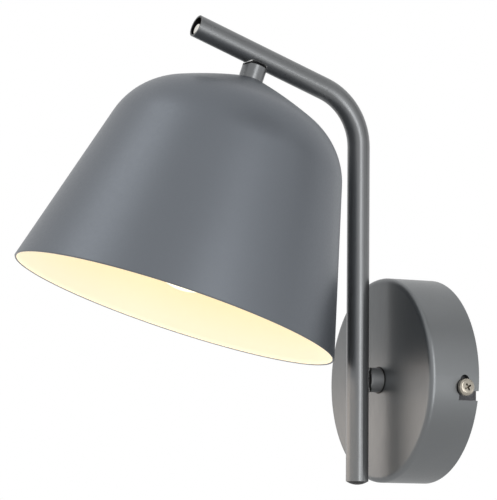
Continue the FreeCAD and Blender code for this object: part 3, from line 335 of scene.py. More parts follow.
def satin_nickel(name, colour, roughness, stretch, metalness=0.9):
    """Plated satin metal: fine grain in gloss and height, and a slow drift of colour."""
    material = finish(name, colour, metalness, roughness)
    grain = noise(material, GRAIN_SCALE, stretch)
    vary(material, "Roughness", grain, roughness - GRAIN_SMOOTHER, roughness + GRAIN_ROUGHER)
    roughen(material, grain, GRAIN_HEIGHT)
    tint(material, noise(material, DRIFT_SCALE), *shades_of(colour, DRIFT))
    return material


tube_nickel = satin_nickel("tube_nickel", TUBE_GREY, 0.30, ALONG_TUBE, metalness=0.78)
canopy_nickel = satin_nickel("canopy_nickel", CANOPY_GREY, 0.38, ALONG_CANOPY)
# The wall stub's lighter grey is painted light, not a different plating.
lit_stub_nickel = satin_nickel("lit_stub_nickel", LIT_STUB_GREY, 0.45, ALONG_STUB)
dress(["arm_tube"], tube_nickel)
dress(["canopy_cup"], canopy_nickel)
dress(["wall_stub"], lit_stub_nickel)
dress(["shade_stub"], tube_nickel)
print("satin nickel on the tube, the stubs and the canopy")

# %% [markdown]
# ## Bright, zinc-plated and brass pieces
# The side screws and the saddle liners are bright, and the hidden hardware is zinc-plated. The
# bracket is near-black steel. Brass carries the current. One plain grey for all of them
# would do from afar, but close by zinc has a faint cloudiness and the dark steel is blotched, so
# one coarser noise moves the gloss and the colour of each at once.

# %% Other metals
bright_nickel = satin_nickel("bright_nickel", (0.36, 0.33, 0.28), 0.22, EVEN)
liner_sheet = satin_nickel("liner_sheet", (0.88, 0.88, 0.87), 0.3, EVEN)

zinc = finish("zinc_plate", (0.50, 0.51, 0.53), 1.0, 0.36)
zinc_cloud = noise(zinc, 160, detail=5)
vary(zinc, "Roughness", zinc_cloud, 0.28, 0.46)
tint(zinc, zinc_cloud, (0.44, 0.45, 0.47), (0.56, 0.57, 0.58))

dark_steel = finish("dark_steel", (0.07, 0.07, 0.075), 0.9, 0.5)
dark_grain = noise(dark_steel, 900, detail=4)
vary(dark_steel, "Roughness", dark_grain, 0.40, 0.62)
roughen(dark_steel, dark_grain, 0.00003)
tint(dark_steel, dark_grain, (0.045, 0.045, 0.05), (0.10, 0.10, 0.105))

brass = finish("brass", (0.62, 0.44, 0.18), 1.0, 0.30)
vary(brass, "Roughness", noise(brass, 700), 0.24, 0.38)
tint(brass, noise(brass, 90), (0.56, 0.39, 0.15), (0.66, 0.48, 0.21))

# %% Dress the metal parts
dress(["wall_saddle_liner", "shade_saddle_liner"], liner_sheet)
dress(["wall_bracket"], dark_steel)
dress(["stop_pin", "stop_disc", "lock_nut", "earth_washer", "wall_barrel_nut", "shade_barrel_nut",
       "wall_hollow_screw", "shade_hollow_screw", "crown_nut", "crown_washer"], zinc)
dress(["holder_sleeve", "holder_contact", "bulb_contact", "terminal_screw_1", "terminal_screw_2",
       "terminal_screw_3", "terminal_screw_4"], brass)
print("zinc on the hardware, brass on the contacts")

# %% [markdown]
# ## Moulded pieces
# The foot plug and the saddle spacers are black plastic, the lampholder is white, and the upper
# plug is black with a pale pip. A plain colour with one gloss looks like a drawing of plastic.
# Moulded plastic takes the fine texture of its mould, so noise varies its gloss and lifts its
# surface a hundredth of a millimetre.

# %% Plastics
SKIN_SCALE, SKIN_HEIGHT = 900, 0.00001
SKIN_SMOOTHER, SKIN_ROUGHER = 0.05, 0.08
CLOUD_SCALE, CLOUD = 60, 0.05


def plastic(name, colour, roughness):
    """Moulded plastic with the fine skin of its mould."""
    material = finish(name, colour, 0.0, roughness)
    skin = noise(material, SKIN_SCALE)
    vary(material, "Roughness", skin, roughness - SKIN_SMOOTHER, roughness + SKIN_ROUGHER)
    roughen(material, skin, SKIN_HEIGHT)
    tint(material, noise(material, CLOUD_SCALE), *shades_of(colour, CLOUD))
    return material


black_plastic = plastic("black_plastic", (0.006, 0.006, 0.006), 0.42)
black_plastic.node_tree.nodes["Principled BSDF"].inputs["Specular IOR Level"].default_value = 0.25
pale_plastic = plastic("pale_plastic", (0.52, 0.50, 0.44), 0.5)
white_plastic = plastic("white_plastic", (0.80, 0.78, 0.72), 0.4)
dress(["tube_foot_plug", "wall_saddle_spacer", "shade_saddle_spacer", "friction_washer"],
      black_plastic)
dress(["holder_cap", "holder_core"], white_plastic)
print("black and white plastic")

# %% [markdown]
# ## The bulb
# The bulb is opal glass and glows warm. A lamp inside clear glass would be truer to life, but it
# needs many more samples to come out clean. Here the glass itself shines, so it lights the inside
# of the shade as evenly as an opal bulb does. Its base is bright metal with a dark glass button
# and a brass contact.

# %% Bulb finishes
GLOW, GLOW_STRENGTH = (1.0, 0.86, 0.55), 0.95

base_metal = finish("bulb_base_metal", (0.72, 0.72, 0.71), 1.0, 0.25)
vary(base_metal, "Roughness", noise(base_metal, 600), 0.2, 0.32)
dark_glass = finish("dark_glass", (0.012, 0.012, 0.016), 0.0, 0.12)
vary(dark_glass, "Roughness", noise(dark_glass, 500), 0.08, 0.16)
stem_glass = finish("stem_glass", (0.9, 0.92, 0.92), 0.0, 0.05)
stem_glass.node_tree.nodes["Principled BSDF"].inputs["Transmission Weight"].default_value = 0.9
vary(stem_glass, "Roughness", noise(stem_glass, 300), 0.03, 0.08)

opal_glass = finish("opal_glass", (0.62, 0.60, 0.53), 0.0, 0.18)
opal_shader = opal_glass.node_tree.nodes["Principled BSDF"]
opal_shader.inputs["Emission Color"].default_value = (*GLOW, 1)
opal_shader.inputs["Emission Strength"].default_value = GLOW_STRENGTH
vary(opal_glass, "Roughness", noise(opal_glass, 400), 0.14, 0.22)

dress(["bulb_base"], base_metal)
dress(["bulb_insulator"], dark_glass)
dress(["bulb_stem"], stem_glass)
dress(["bulb_glass"], opal_glass)
print("a bulb that glows at", GLOW_STRENGTH)

# %% [markdown]
# ## Small tools for turned pieces
# Most pieces of a lamp are turned or spun round an axis. Spin or a Screw modifier could sweep an
# outline round, but both leave a seam to merge. Here, as on a lathe, each starts as one ring of
# points, which is then drawn out ring by ring with extrude and resize, so there is no seam at all.
# Where the outline comes to the axis, the last ring is shrunk almost to a point, and merging
# closes it. Pieces are shaped upright at the origin, and then stood where they belong with their
# place in their mesh.

# %% Turning tools
POLE = 0.01
MERGE = 0.00003
CREASE = math.radians(32)
UP = math.pi / 2


def deselect():
    """Nothing selected: operators act on all that is."""
    bpy.ops.object.select_all(action="DESELECT")


def select_only(piece):
    """One piece selected and active."""
    deselect()
    piece.select_set(True)
    bpy.context.view_layer.objects.active = piece


def turned(name, outline, segments=96, closed=False):
    """A piece drawn out from an outline of (radius, height) in millimetres."""
    deselect()
    first = outline[0]
    bpy.ops.mesh.primitive_circle_add(vertices=segments, radius=first[0] * MM,
                                      location=(0, 0, first[1] * MM))
    piece = bpy.context.object
    piece.name = name
    bpy.ops.object.transform_apply(location=True, rotation=True, scale=True)
    bpy.ops.object.mode_set(mode="EDIT")
    bpy.ops.mesh.select_all(action="SELECT")
    stops = outline + [first] if closed else outline
    for (radius, height), (wider, higher) in zip(stops, stops[1:]):
        rise = (higher - height) * MM
        bpy.ops.mesh.extrude_region_move(TRANSFORM_OT_translate={"value": (0, 0, rise)})
        grow = wider / radius
        bpy.ops.transform.resize(value=(grow, grow, 1), center_override=(0, 0, higher * MM))
    bpy.ops.mesh.select_all(action="SELECT")
    bpy.ops.mesh.remove_doubles(threshold=MERGE)
    bpy.ops.mesh.normals_make_consistent(inside=False)
    bpy.ops.object.mode_set(mode="OBJECT")
    bpy.ops.object.shade_smooth_by_angle(angle=CREASE)
    return piece


def settle(piece, place, body, material, *stands_for, slot=None):
    """Stand a piece in the lamp, dress it, and let it ride on its body."""
    select_only(piece)
    piece.matrix_world = place @ piece.matrix_world
    bpy.ops.object.transform_apply(location=True, rotation=True, scale=True)
    if material:
        piece.data.materials.clear()
        piece.data.materials.append(material)
    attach(piece, body)
    if stands_for:
        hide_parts(*stands_for)
    return piece


def arc(centre, radius, start, end, steps):
    """Points on an arc of the outline, without its first."""
    turns = [start + (end - start) * step / steps for step in range(1, steps + 1)]
    return [(centre[0] + radius * math.cos(t), centre[1] + radius * math.sin(t)) for t in turns]


# %% Cutting tool
def cut_away(piece, cutters):
    """Cut the cutters out of a piece, one Boolean each, and remove them."""
    for cutter in cutters:
        cut = piece.modifiers.new("cut", "BOOLEAN")
        cut.operation = "DIFFERENCE"
        cut.object = cutter
        select_only(piece)
        bpy.ops.object.modifier_apply(modifier=cut.name)
        bpy.data.objects.remove(cutter)
    bpy.ops.object.shade_smooth_by_angle(angle=CREASE)


# %% [markdown]
# ## The shade's own frame
# The shade hangs square to the sloping run, leans 2.2 degrees along it, and is swung 4.7 degrees
# round it. A turned empty could carry its pieces, but each has to end at the origin, unturned, so
# a matrix takes a piece that was shaped upright, with the tube's axis at the origin, to its place.
# The joint in the frame tells where the tube's axis is.

# %% Where the shade hangs
RUN_SLOPE, SHADE_SWING, SHADE_LEAN = 19.5, -4.7, 2.2


def turn(axis, degrees):
    """A 4 by 4 rotation about a named axis."""
    return Matrix.Rotation(math.radians(degrees), 4, axis)


swing_joint = next(joint for joint in frame["joints"] if joint["name"] == "shade_swing")
shade_place = (Matrix.Translation(swing_joint["pos_m"]) @ turn("X", -RUN_SLOPE) @ turn("Z", -90)
               @ turn("X", SHADE_SWING) @ turn("Y", SHADE_LEAN))
shade_turn = tuple(shade_place.to_euler())
shade_origin = tuple(shade_place.translation)
print("shade's axis points to", [round(part, 3) for part in shade_place.col[2][:3]])

# %% [markdown]
# ## The spun shade
# The shade is one sheet, 1 mm thick, spun over a form: a flat seat, a shallow crown, a round
# shoulder and a straight skirt to the rim. The same outline is followed outside and back inside,
# with a small round where the edge of the sheet was dressed. It is made new here, rather than
# dressed as it came, so that its outside and its inside can have finishes of their own and its
# surface is smooth enough for a long soft highlight. A Solidify modifier could give a single
# skin its thickness, but then the edge would be square. The angle of the skirt isn't written down:
# it is the one line from the rim that touches the shoulder's arc.

# %% Shade outline
SHADE_STEPS, SKIRT_BANDS = 8, 6
CROWN_DROP, CROWN_FLAT, HOLE = 12.3, 6.2, 2.55
CROWN_SLOPE, CROWN_RADIUS = math.radians(17.2), 257.0
SHOULDER_SLOPE, SHOULDER_RADIUS = math.radians(24.6), 38.0
RIM_RADIUS, RIM_DROP, SHEET = 80.2, 130.2, 1.0
EDGE_ROUND, BARE_EDGE = 0.35, 0.42

crown_centre = (CROWN_FLAT - CROWN_RADIUS * math.sin(CROWN_SLOPE),
                -CROWN_DROP - CROWN_RADIUS * math.cos(CROWN_SLOPE))
shoulder_centre = (crown_centre[0] + (CROWN_RADIUS - SHOULDER_RADIUS) * math.sin(SHOULDER_SLOPE),
                   crown_centre[1] + (CROWN_RADIUS - SHOULDER_RADIUS) * math.cos(SHOULDER_SLOPE))
rim_run = RIM_RADIUS - shoulder_centre[0]
rim_fall = RIM_DROP + shoulder_centre[1]
skirt_angle = (math.acos(SHOULDER_RADIUS / math.hypot(rim_run, rim_fall))
               - math.atan(rim_fall / rim_run))


def shade_side(offset):
    """One face of the sheet, from the crown's seat to the rim, as far inside as offset says."""
    line = [(CROWN_FLAT - offset * math.sin(CROWN_SLOPE) / 2, -CROWN_DROP - offset)]
    line += arc(crown_centre, CROWN_RADIUS - offset, UP - CROWN_SLOPE, UP - SHOULDER_SLOPE,
                SHADE_STEPS)
    line += arc(shoulder_centre, SHOULDER_RADIUS - offset, UP - SHOULDER_SLOPE, skirt_angle,
                SHADE_STEPS * 2)
    foot = (RIM_RADIUS - offset * math.cos(skirt_angle), -RIM_DROP - offset * math.sin(skirt_angle))
    top = line[-1]
    line += [tuple(top[axis] + (foot[axis] - top[axis]) * part / SKIRT_BANDS for axis in (0, 1))
             for part in range(1, SKIRT_BANDS)]
    return line, foot


outside, outer_foot = shade_side(0.0)
inside, inner_foot = shade_side(SHEET)
along = Vector((math.cos(skirt_angle - UP), math.sin(skirt_angle - UP)))
across = Vector((inner_foot[0] - outer_foot[0], inner_foot[1] - outer_foot[1])).normalized()
rim = [tuple(place) for place in (Vector(outer_foot) - along * EDGE_ROUND,
                                  Vector(outer_foot) + across * EDGE_ROUND,
                                  Vector(inner_foot) - across * EDGE_ROUND,
                                  Vector(inner_foot) - along * EDGE_ROUND,
                                  Vector(inner_foot) - along * BARE_EDGE)]
bare_below = rim[-1][1] * MM
outline = [(HOLE, -CROWN_DROP)] + outside + rim + inside[::-1] + [(HOLE, -CROWN_DROP - SHEET)]
print(f"shade outline of {len(outline)} points")
print(f"skirt {math.degrees(skirt_angle):.1f} degrees off upright")

# %% [markdown]
# ## The shade's outside
# The outside is satin metal a little bluer than the tube, with the hair-fine rings that spinning
# leaves. A Wave texture would make rings too, but evenly spaced ones. Noise drawn out round the
# axis varies with height alone, and its rings are as uneven as a spinner's.

# %% Shade metal
SHADE_GREY, SHADE_DRIFT_SCALE, SHADE_DRIFT = (0.142, 0.155, 0.173), 18, 0.02
RING_STRETCH, RING_HEIGHT, RING_STRENGTH = (8, 8, 2200), 0.000006, 0.35

shade_metal = finish("shade_metal", SHADE_GREY, 0.85, 0.42)
spun_rings = noise(shade_metal, 1.0, RING_STRETCH, turn=shade_turn, place=shade_origin)
vary(shade_metal, "Roughness", noise(shade_metal, 900), 0.40, 0.47)
roughen(shade_metal, spun_rings, RING_HEIGHT, RING_STRENGTH)
tint(shade_metal, noise(shade_metal, SHADE_DRIFT_SCALE), *shades_of(SHADE_GREY, SHADE_DRIFT))
print(f"spun rings about {1000 / RING_STRETCH[2]:.1f} mm apart")

# %% [markdown]
# ## The shade's inside
# The inside is white enamel. In the lit lamp it glows from edge to edge. A bulb as strong as a
# real one would give that glow and wash out the rest of the picture, so part of its brightness is
# written into the finish and the bulb's light adds the rest. The glow is cream deep inside and
# paler in the last two centimetres before the rim, so it follows the height along the shade's own
# axis.

# %% Shade enamel
DEEP_GLOW, RIM_GLOW, ENAMEL_STRENGTH = (1.0, 0.80, 0.36), (1.0, 0.88, 0.74), 0.30
GLOW_START, GLOW_END = 0.005, 0.026

shade_enamel = finish("shade_enamel", (0.80, 0.72, 0.56), 0.0, 0.45)
enamel_tree = shade_enamel.node_tree
enamel_shader = enamel_tree.nodes["Principled BSDF"]
enamel_shader.inputs["Emission Strength"].default_value = ENAMEL_STRENGTH
enamel_skin = noise(shade_enamel, 500)
vary(shade_enamel, "Roughness", enamel_skin, 0.40, 0.52)
roughen(shade_enamel, enamel_skin, SKIN_HEIGHT)

# %% Glow by height
enamel_place = enamel_tree.nodes.new("ShaderNodeTexCoord")
own_axes = enamel_tree.nodes.new("ShaderNodeMapping")
own_axes.vector_type = "TEXTURE"
own_axes.inputs["Location"].default_value = shade_origin
own_axes.inputs["Rotation"].default_value = shade_turn
heights = enamel_tree.nodes.new("ShaderNodeSeparateXYZ")
above_rim = enamel_tree.nodes.new("ShaderNodeMapRange")
above_rim.inputs["From Min"].default_value = -RIM_DROP * MM + GLOW_START
above_rim.inputs["From Max"].default_value = -RIM_DROP * MM + GLOW_END
glow = enamel_tree.nodes.new("ShaderNodeValToRGB")
glow.color_ramp.elements[0].color = (*RIM_GLOW, 1)
glow.color_ramp.elements[1].color = (*DEEP_GLOW, 1)
enamel_tree.links.new(enamel_place.outputs["Object"], own_axes.inputs["Vector"])
enamel_tree.links.new(own_axes.outputs["Vector"], heights.inputs["Vector"])
enamel_tree.links.new(heights.outputs["Z"], above_rim.inputs["Value"])
enamel_tree.links.new(above_rim.outputs["Result"], glow.inputs["Fac"])
enamel_tree.links.new(glow.outputs["Color"], enamel_shader.inputs["Emission Color"])
print(f"enamel pales from {GLOW_END / MM:.0f} to {GLOW_START / MM:.0f} mm above the rim")

# %% Spin the shade
SHADE_SEGMENTS = 160
IN_SHADE = Vector((0, 0, -85 * MM))

shade = turned("shade_spun", outline, segments=SHADE_SEGMENTS, closed=True)
shade.data.materials.append(shade_metal)
shade.data.materials.append(shade_enamel)
for face in shade.data.polygons:
    looks_in = face.normal.dot(face.center - IN_SHADE) < 0
    at_edge = face.center.z < bare_below
    face.material_index = 1 if looks_in and not at_edge else 0
settle(shade, shade_place, "shade", None, "shade_shell", slot="shade_metal")
print(f"shade: {len(shade.data.polygons)} faces")

# %% [markdown]
# ## Pan head screws
# Three screws are alike: one in each keyhole of the canopy, and the earth screw on the bracket.
# The head is turned with a soft edge. A true helix could be swept for the thread, but at this
# size close round grooves look the same and stay clean to mesh. The cross recess narrows as it
# goes down, so its cutter is two bars with their lower ends drawn in, which a Boolean modifier
# takes away. The side screws are one screw and its copy. The earth screw is shorter.

# %% Make a screw
HEAD_RADIUS, HEAD_HEIGHT, HEAD_FLAT, HEAD_ROUND = 4.2, 2.6, 1.6, 1.5
THREAD_RADIUS, THREAD_PITCH, THREAD_DEPTH, THREAD_START = 2.0, 0.7, 0.32, 0.5
RECESS_LENGTH, RECESS_WIDTH, RECESS_DEPTH, RECESS_TAPER = 5.0, 1.25, 1.7, 0.45


def recess_bar(angle):
    """One bar of the cross recess, its lower end drawn in."""
    bpy.ops.mesh.primitive_cube_add(size=1, location=(0, 0, HEAD_HEIGHT * MM))
    bar = bpy.context.object
    bar.scale = (RECESS_LENGTH * MM, RECESS_WIDTH * MM, 2 * RECESS_DEPTH * MM)
    bar.rotation_euler.z = math.radians(angle)
    bpy.ops.object.transform_apply(location=False, rotation=True, scale=True)
    bpy.ops.object.mode_set(mode="EDIT")
    bpy.ops.mesh.select_all(action="DESELECT")
    bpy.ops.object.mode_set(mode="OBJECT")
    for vertex in bar.data.vertices:
        vertex.select = vertex.co.z < 0
    bpy.ops.object.mode_set(mode="EDIT")
    bpy.ops.transform.resize(value=(RECESS_TAPER, RECESS_TAPER, 1),
                             center_override=(0, 0, HEAD_HEIGHT * MM))
    bpy.ops.object.mode_set(mode="OBJECT")
    return bar


def pan_screw(name, length):
    """A pan head screw along Z, the head's underside at zero."""
    line = [(POLE, HEAD_HEIGHT), (HEAD_FLAT, HEAD_HEIGHT)]
    line += arc((HEAD_RADIUS - HEAD_ROUND, HEAD_HEIGHT - HEAD_ROUND), HEAD_ROUND, UP, 0, 8)
    line += [(HEAD_RADIUS, 0.25), (HEAD_RADIUS - 0.15, 0.05), (HEAD_RADIUS - 0.3, 0)]
    line += [(THREAD_RADIUS, 0)]
    depth = THREAD_START
    while depth + THREAD_PITCH < length:
        line += [(THREAD_RADIUS, -depth), (THREAD_RADIUS - THREAD_DEPTH, -depth - THREAD_PITCH / 2)]
        depth += THREAD_PITCH
    line += [(THREAD_RADIUS - 0.2, -length), (POLE, -length)]
    screw = turned(name, line, segments=48)
    cut_away(screw, [recess_bar(0), recess_bar(90)])
    return screw


# %% Side screws
SCREW_OUT, SCREW_LEVEL, SCREW_SIDE, SIDE_SCREW_LENGTH = -9.5, -5.1, 50.3, 6.4

screw_right = pan_screw("side_screw_right_detailed", SIDE_SCREW_LENGTH)
select_only(screw_right)
bpy.ops.object.duplicate()
screw_left = bpy.context.object
screw_left.name = "side_screw_left_detailed"
for screw, side, spin in ((screw_right, 1, 28), (screw_left, -1, 64)):
    place = (Matrix.Translation((side * SCREW_SIDE * MM, SCREW_OUT * MM, side * SCREW_LEVEL * MM))
             @ turn("Y", 90 * side) @ turn("Z", spin))
    settle(screw, place, "bracket", bright_nickel, f"side_screw_{'right' if side > 0 else 'left'}",
           slot="bright_nickel")
print(f"two side screws, {len(screw_right.data.polygons)} faces each")

# %% Earth screw
EARTH_PLACE, EARTH_SEAT, EARTH_LENGTH = -14.5, -2.3, 2.3

earth = pan_screw("earth_screw_detailed", EARTH_LENGTH)
earth_place = (Matrix.Translation((EARTH_PLACE * MM, EARTH_SEAT * MM, 0))
               @ turn("X", 90) @ turn("Z", 20))
settle(earth, earth_place, "bracket", zinc, "earth_screw", slot="zinc_plate")
print(f"earth screw {EARTH_LENGTH + HEAD_HEIGHT:.1f} mm long")

# %% [markdown]
# ## Painted shadow round the pivot
# Where the stub turns on the canopy's face, a dark shadow line falls round it, and a thin black
# ring on the face paints that shadow. A torus would stand up as a bead, so it is a flat ring with a
# soft edge, turned from its closed outline.

# %% Painted shadow ring
FACE_OUT = -28.1
SHADOW_RING_IN, SHADOW_RING_OUT, SHADOW_RING_THICK, SHADOW_RING_EDGE = 5.6, 6.6, 0.3, 0.1

# Painted shadow: this thin black ring stands for the shadow round the stub's foot on the canopy.
painted_shadow_ring = turned("pivot_shadow_ring", [(SHADOW_RING_IN, 0), (SHADOW_RING_OUT, 0),
                                 (SHADOW_RING_OUT, SHADOW_RING_THICK - SHADOW_RING_EDGE),
                                 (SHADOW_RING_OUT - SHADOW_RING_EDGE, SHADOW_RING_THICK),
                                 (SHADOW_RING_IN, SHADOW_RING_THICK)], closed=True)
settle(painted_shadow_ring, Matrix.Translation((0, FACE_OUT * MM, 0)) @ turn("X", 90), "canopy", black_plastic,
       slot="black_plastic")
# The width printed is the width of the painted shadow line.
print(f"gasket shows {SHADOW_RING_OUT - SHADOW_RING_IN:.1f} mm wide")

# %% [markdown]
# ## Terminal block
# Behind the canopy the mains wires meet the lamp's flex in a two-pole block: a pale moulding with
# rounded edges, a wire way through each pole, four screw wells, and a groove between the poles.
# It could be drawn as a plate with inset faces for the holes, but they go right through and cross
# each other, so a cube is bevelled, and the holes are cut from it.

# %% Block
BLOCK_LOW, BLOCK_SIZE, BLOCK_EDGE = (8.4, -13.0, -8.5), (11.6, 11.5, 17.0), 0.9

deselect()
block_middle = [low + size / 2 for low, size in zip(BLOCK_LOW, BLOCK_SIZE)]
bpy.ops.mesh.primitive_cube_add(size=1, location=[part * MM for part in block_middle])
block = bpy.context.object
block.name = "terminal_block_moulded"
block.scale = [size * MM for size in BLOCK_SIZE]
bpy.ops.object.transform_apply(location=True, rotation=True, scale=True)
bpy.ops.object.mode_set(mode="EDIT")
bpy.ops.mesh.select_all(action="SELECT")
bpy.ops.mesh.bevel(offset=BLOCK_EDGE * MM, segments=4)
bpy.ops.object.mode_set(mode="OBJECT")
print("block", BLOCK_SIZE, "mm")

# %% Holes of the block
WIRE_WAY, SCREW_WELL, HALF_PITCH = 1.8, 1.55, 2.9
WAY_LENGTH, WELL_LENGTH, GROOVE = 30, 11.5, (0.9, 3.2, 20)


def hole_cutter(radius, length, place, rotation):
    """A round cutter."""
    bpy.ops.mesh.primitive_cylinder_add(vertices=32, radius=radius * MM, depth=length * MM,
                                        location=[part * MM for part in place], rotation=rotation)
    return bpy.context.object


cutters = []
for pole in (-HALF_PITCH, HALF_PITCH):
    across_block = block_middle[0] + pole
    cutters.append(hole_cutter(WIRE_WAY, WAY_LENGTH, (across_block, block_middle[1], 0), (0, 0, 0)))
    for shift in (-HALF_PITCH, HALF_PITCH):
        cutters.append(hole_cutter(SCREW_WELL, WELL_LENGTH, (across_block, BLOCK_LOW[1], shift),
                                   (UP, 0, 0)))
bpy.ops.mesh.primitive_cube_add(size=1, location=(block_middle[0] * MM, BLOCK_LOW[1] * MM, 0))
groove = bpy.context.object
groove.scale = [size * MM for size in GROOVE]
cut_away(block, cutters + [groove])
settle(block, Matrix.Identity(4), "bracket", pale_plastic, "terminal_block", slot="pale_plastic")
print(f"terminal block with {len(cutters)} holes and a groove")

# %% [markdown]
# ## Flex
# A round two-core flex runs from the terminal block in a loop to the pivot, up inside the arm, and
# down into the lampholder. Circles extruded from bend to bend would kink there. A NURBS curve with
# a round bevel gives each length its smooth line from a few points. Near the block the sheath ends
# and the two cores part, brown and blue, one for each pole.

# %% Flex maker
SMOOTH_CURVE = math.radians(50)


def flex(name, points, radius, body, material, *stands_for):
    """A length of flex on a smooth curve through millimetre points."""
    curve = bpy.data.curves.new(name, "CURVE")
    curve.dimensions = "3D"
    spline = curve.splines.new("NURBS")
    spline.points.add(len(points) - 1)
    for point, place in zip(spline.points, points):
        point.co = (*(part * MM for part in place), 1)
    spline.use_endpoint_u = True
    spline.order_u = 3
    spline.resolution_u = 16
    curve.bevel_depth = radius * MM
    curve.bevel_resolution = 6
    curve.use_fill_caps = True
    piece = bpy.data.objects.new(name, curve)
    bpy.context.scene.collection.objects.link(piece)
    select_only(piece)
    bpy.ops.object.convert(target="MESH")
    piece = bpy.context.object
    bpy.ops.object.shade_smooth_by_angle(angle=SMOOTH_CURVE)
    return settle(piece, Matrix.Identity(4), body, material, *stands_for, slot="flex_sheath")


# %% Flex behind the canopy
FLEX_RADIUS, CORE_RADIUS, CORE_SIDE = 1.4, 0.65, 0.66
BLOCK_MIDDLE, FLEX_DEPTH, LOOP_TOP = 14.2, -7.25, 20.5

sheath = plastic("flex_sheath", (0.70, 0.70, 0.67), 0.42)
brown_core = plastic("brown_core", (0.13, 0.045, 0.015), 0.4)
blue_core = plastic("blue_core", (0.02, 0.10, 0.36), 0.4)
flex("canopy_flex_sheath", [(0, -38.4, 0), (0, -11.25, 0), (0, FLEX_DEPTH, LOOP_TOP),
                            (BLOCK_MIDDLE, FLEX_DEPTH, LOOP_TOP), (BLOCK_MIDDLE, FLEX_DEPTH, 15.0)],
     FLEX_RADIUS, "bracket", sheath, "canopy_flex")
for name, side, colour in (("brown_core_wire", -1, brown_core), ("blue_core_wire", 1, blue_core)):
    together = BLOCK_MIDDLE + side * CORE_SIDE
    apart = BLOCK_MIDDLE + side * HALF_PITCH
    flex(name, [(together, FLEX_DEPTH, 16.5), (together, FLEX_DEPTH, 14.0),
                (apart, FLEX_DEPTH, 11.5), (apart, FLEX_DEPTH, 4.6)],
         CORE_RADIUS, "bracket", colour)
print("canopy flex and its two cores")

# %% Flex in the arm and the shade
flex("arm_flex_sheath", [(0, -40, 1.6), (0, -40, 93.4), (0, -40, 134.74), (0, -78.97, 148.54),
                         (0, -94.33, 153.98)], FLEX_RADIUS, "arm", sheath, "arm_flex")
shade_flex_line = [tuple(shade_place @ Vector((0, 0, height * MM)) / MM)
                   for height in (0, -15, -30.8)]
flex("shade_flex_sheath", shade_flex_line, FLEX_RADIUS, "shade", sheath, "shade_flex")
print("arm flex and shade flex")

# %% [markdown]
# ## Open end of the tube
# The tube's upper end is open, and a plug sits a little way inside it: a black body with a pale
# round pip set off the middle. The black body partly paints the shade inside the bore, and the pale
# pip is a painted highlight where light falls on one side of it. They could be one turned piece,
# but the pip sits off the middle, so each is turned by itself and the two are joined.

# %% Tube end plug
RUN_END = (0, -129.49, 166.43)
PLUG_RADIUS, PLUG_FACE, PLUG_BACK, PLUG_EDGE = 4.45, 2.8, 8.0, 0.4
PIP_RADIUS, PIP_FACE, PIP_OFF = 2.8, 0.6, 1.4

run_place = Matrix.Translation([part * MM for part in RUN_END]) @ turn("X", 90 - RUN_SLOPE)
plug = turned("tube_end_plug_moulded",
              [(POLE, -PLUG_BACK), (PLUG_RADIUS - PLUG_EDGE, -PLUG_BACK),
               (PLUG_RADIUS, -PLUG_BACK + 0.6), (PLUG_RADIUS, -PLUG_FACE - PLUG_EDGE),
               (PLUG_RADIUS - PLUG_EDGE, -PLUG_FACE), (POLE, -PLUG_FACE)], segments=48)
plug.data.materials.append(black_plastic)
# Painted highlight: the pale pip, set off the middle, stands for light falling on one side of the
# bore.
highlight_pip = turned("highlight_pip",
             [(POLE, -PLUG_FACE - 1), (PIP_RADIUS, -PLUG_FACE - 1), (PIP_RADIUS, -PIP_FACE - 0.5),
              (PIP_RADIUS - 0.2, -PIP_FACE - 0.15), (PIP_RADIUS - 0.6, -PIP_FACE),
              (POLE, -PIP_FACE)], segments=48)
highlight_pip.data.materials.append(white_plastic)
highlight_pip.location.y = -PIP_OFF * MM
select_only(plug)
highlight_pip.select_set(True)
bpy.ops.object.join()
settle(plug, run_place, "arm", None, "tube_end_plug", slot="pale_plastic")
print(f"plug {PLUG_FACE} mm inside the tube's end")

# %% [markdown]
# ## The bore of the tube
# The tube's bore is painted dark: painted shade, for the little light that gets into the tube.
# Faces of the CAD mesh could be picked out and given a second material, but it is loose triangles.
# A mask in the tube's finish finds the bore instead, by its distance from the middle of the open
# end. The way along the axis counts for less, so the mask is a long oval that reaches past the
# plug's face and stays inside the wall.

# %% Painted shade in the bore
# Painted shade: the near-black colour below is the shade inside the tube's bore, written as colour.
BORE_MASK, BORE_REACH, BORE_PAINTED_SHADE = 5.15, 0.4, (0.015, 0.015, 0.015)

tree = tube_nickel.node_tree
coordinates = tree.nodes.new("ShaderNodeTexCoord")
from_end = tree.nodes.new("ShaderNodeMapping")
from_end.vector_type = "TEXTURE"
from_end.inputs["Location"].default_value = tuple(run_place.translation)
from_end.inputs["Rotation"].default_value = tuple(run_place.to_euler())
flat = tree.nodes.new("ShaderNodeMapping")
flat.inputs["Scale"].default_value = (1, 1, BORE_REACH)
how_far = tree.nodes.new("ShaderNodeVectorMath")
how_far.operation = "LENGTH"
in_bore = tree.nodes.new("ShaderNodeMath")
in_bore.operation = "LESS_THAN"
in_bore.inputs[1].default_value = BORE_MASK * MM
plated_or_shaded = tree.nodes.new("ShaderNodeMix")
plated_or_shaded.data_type = "RGBA"
plated_or_shaded.inputs["B"].default_value = (*BORE_PAINTED_SHADE, 1)

# %% Link the mask
tree.links.new(coordinates.outputs["Object"], from_end.inputs["Vector"])
tree.links.new(from_end.outputs["Vector"], flat.inputs["Vector"])
tree.links.new(flat.outputs["Vector"], how_far.inputs[0])
tree.links.new(how_far.outputs["Value"], in_bore.inputs[0])
tree.links.new(in_bore.outputs[0], plated_or_shaded.inputs["Factor"])
shader = tree.nodes["Principled BSDF"]
tree.links.new(shader.inputs["Base Color"].links[0].from_socket, plated_or_shaded.inputs["A"])
tree.links.new(plated_or_shaded.outputs["Result"], shader.inputs["Base Color"])
print(f"bore dark to {BORE_MASK / BORE_REACH:.1f} mm from the end, on the axis")

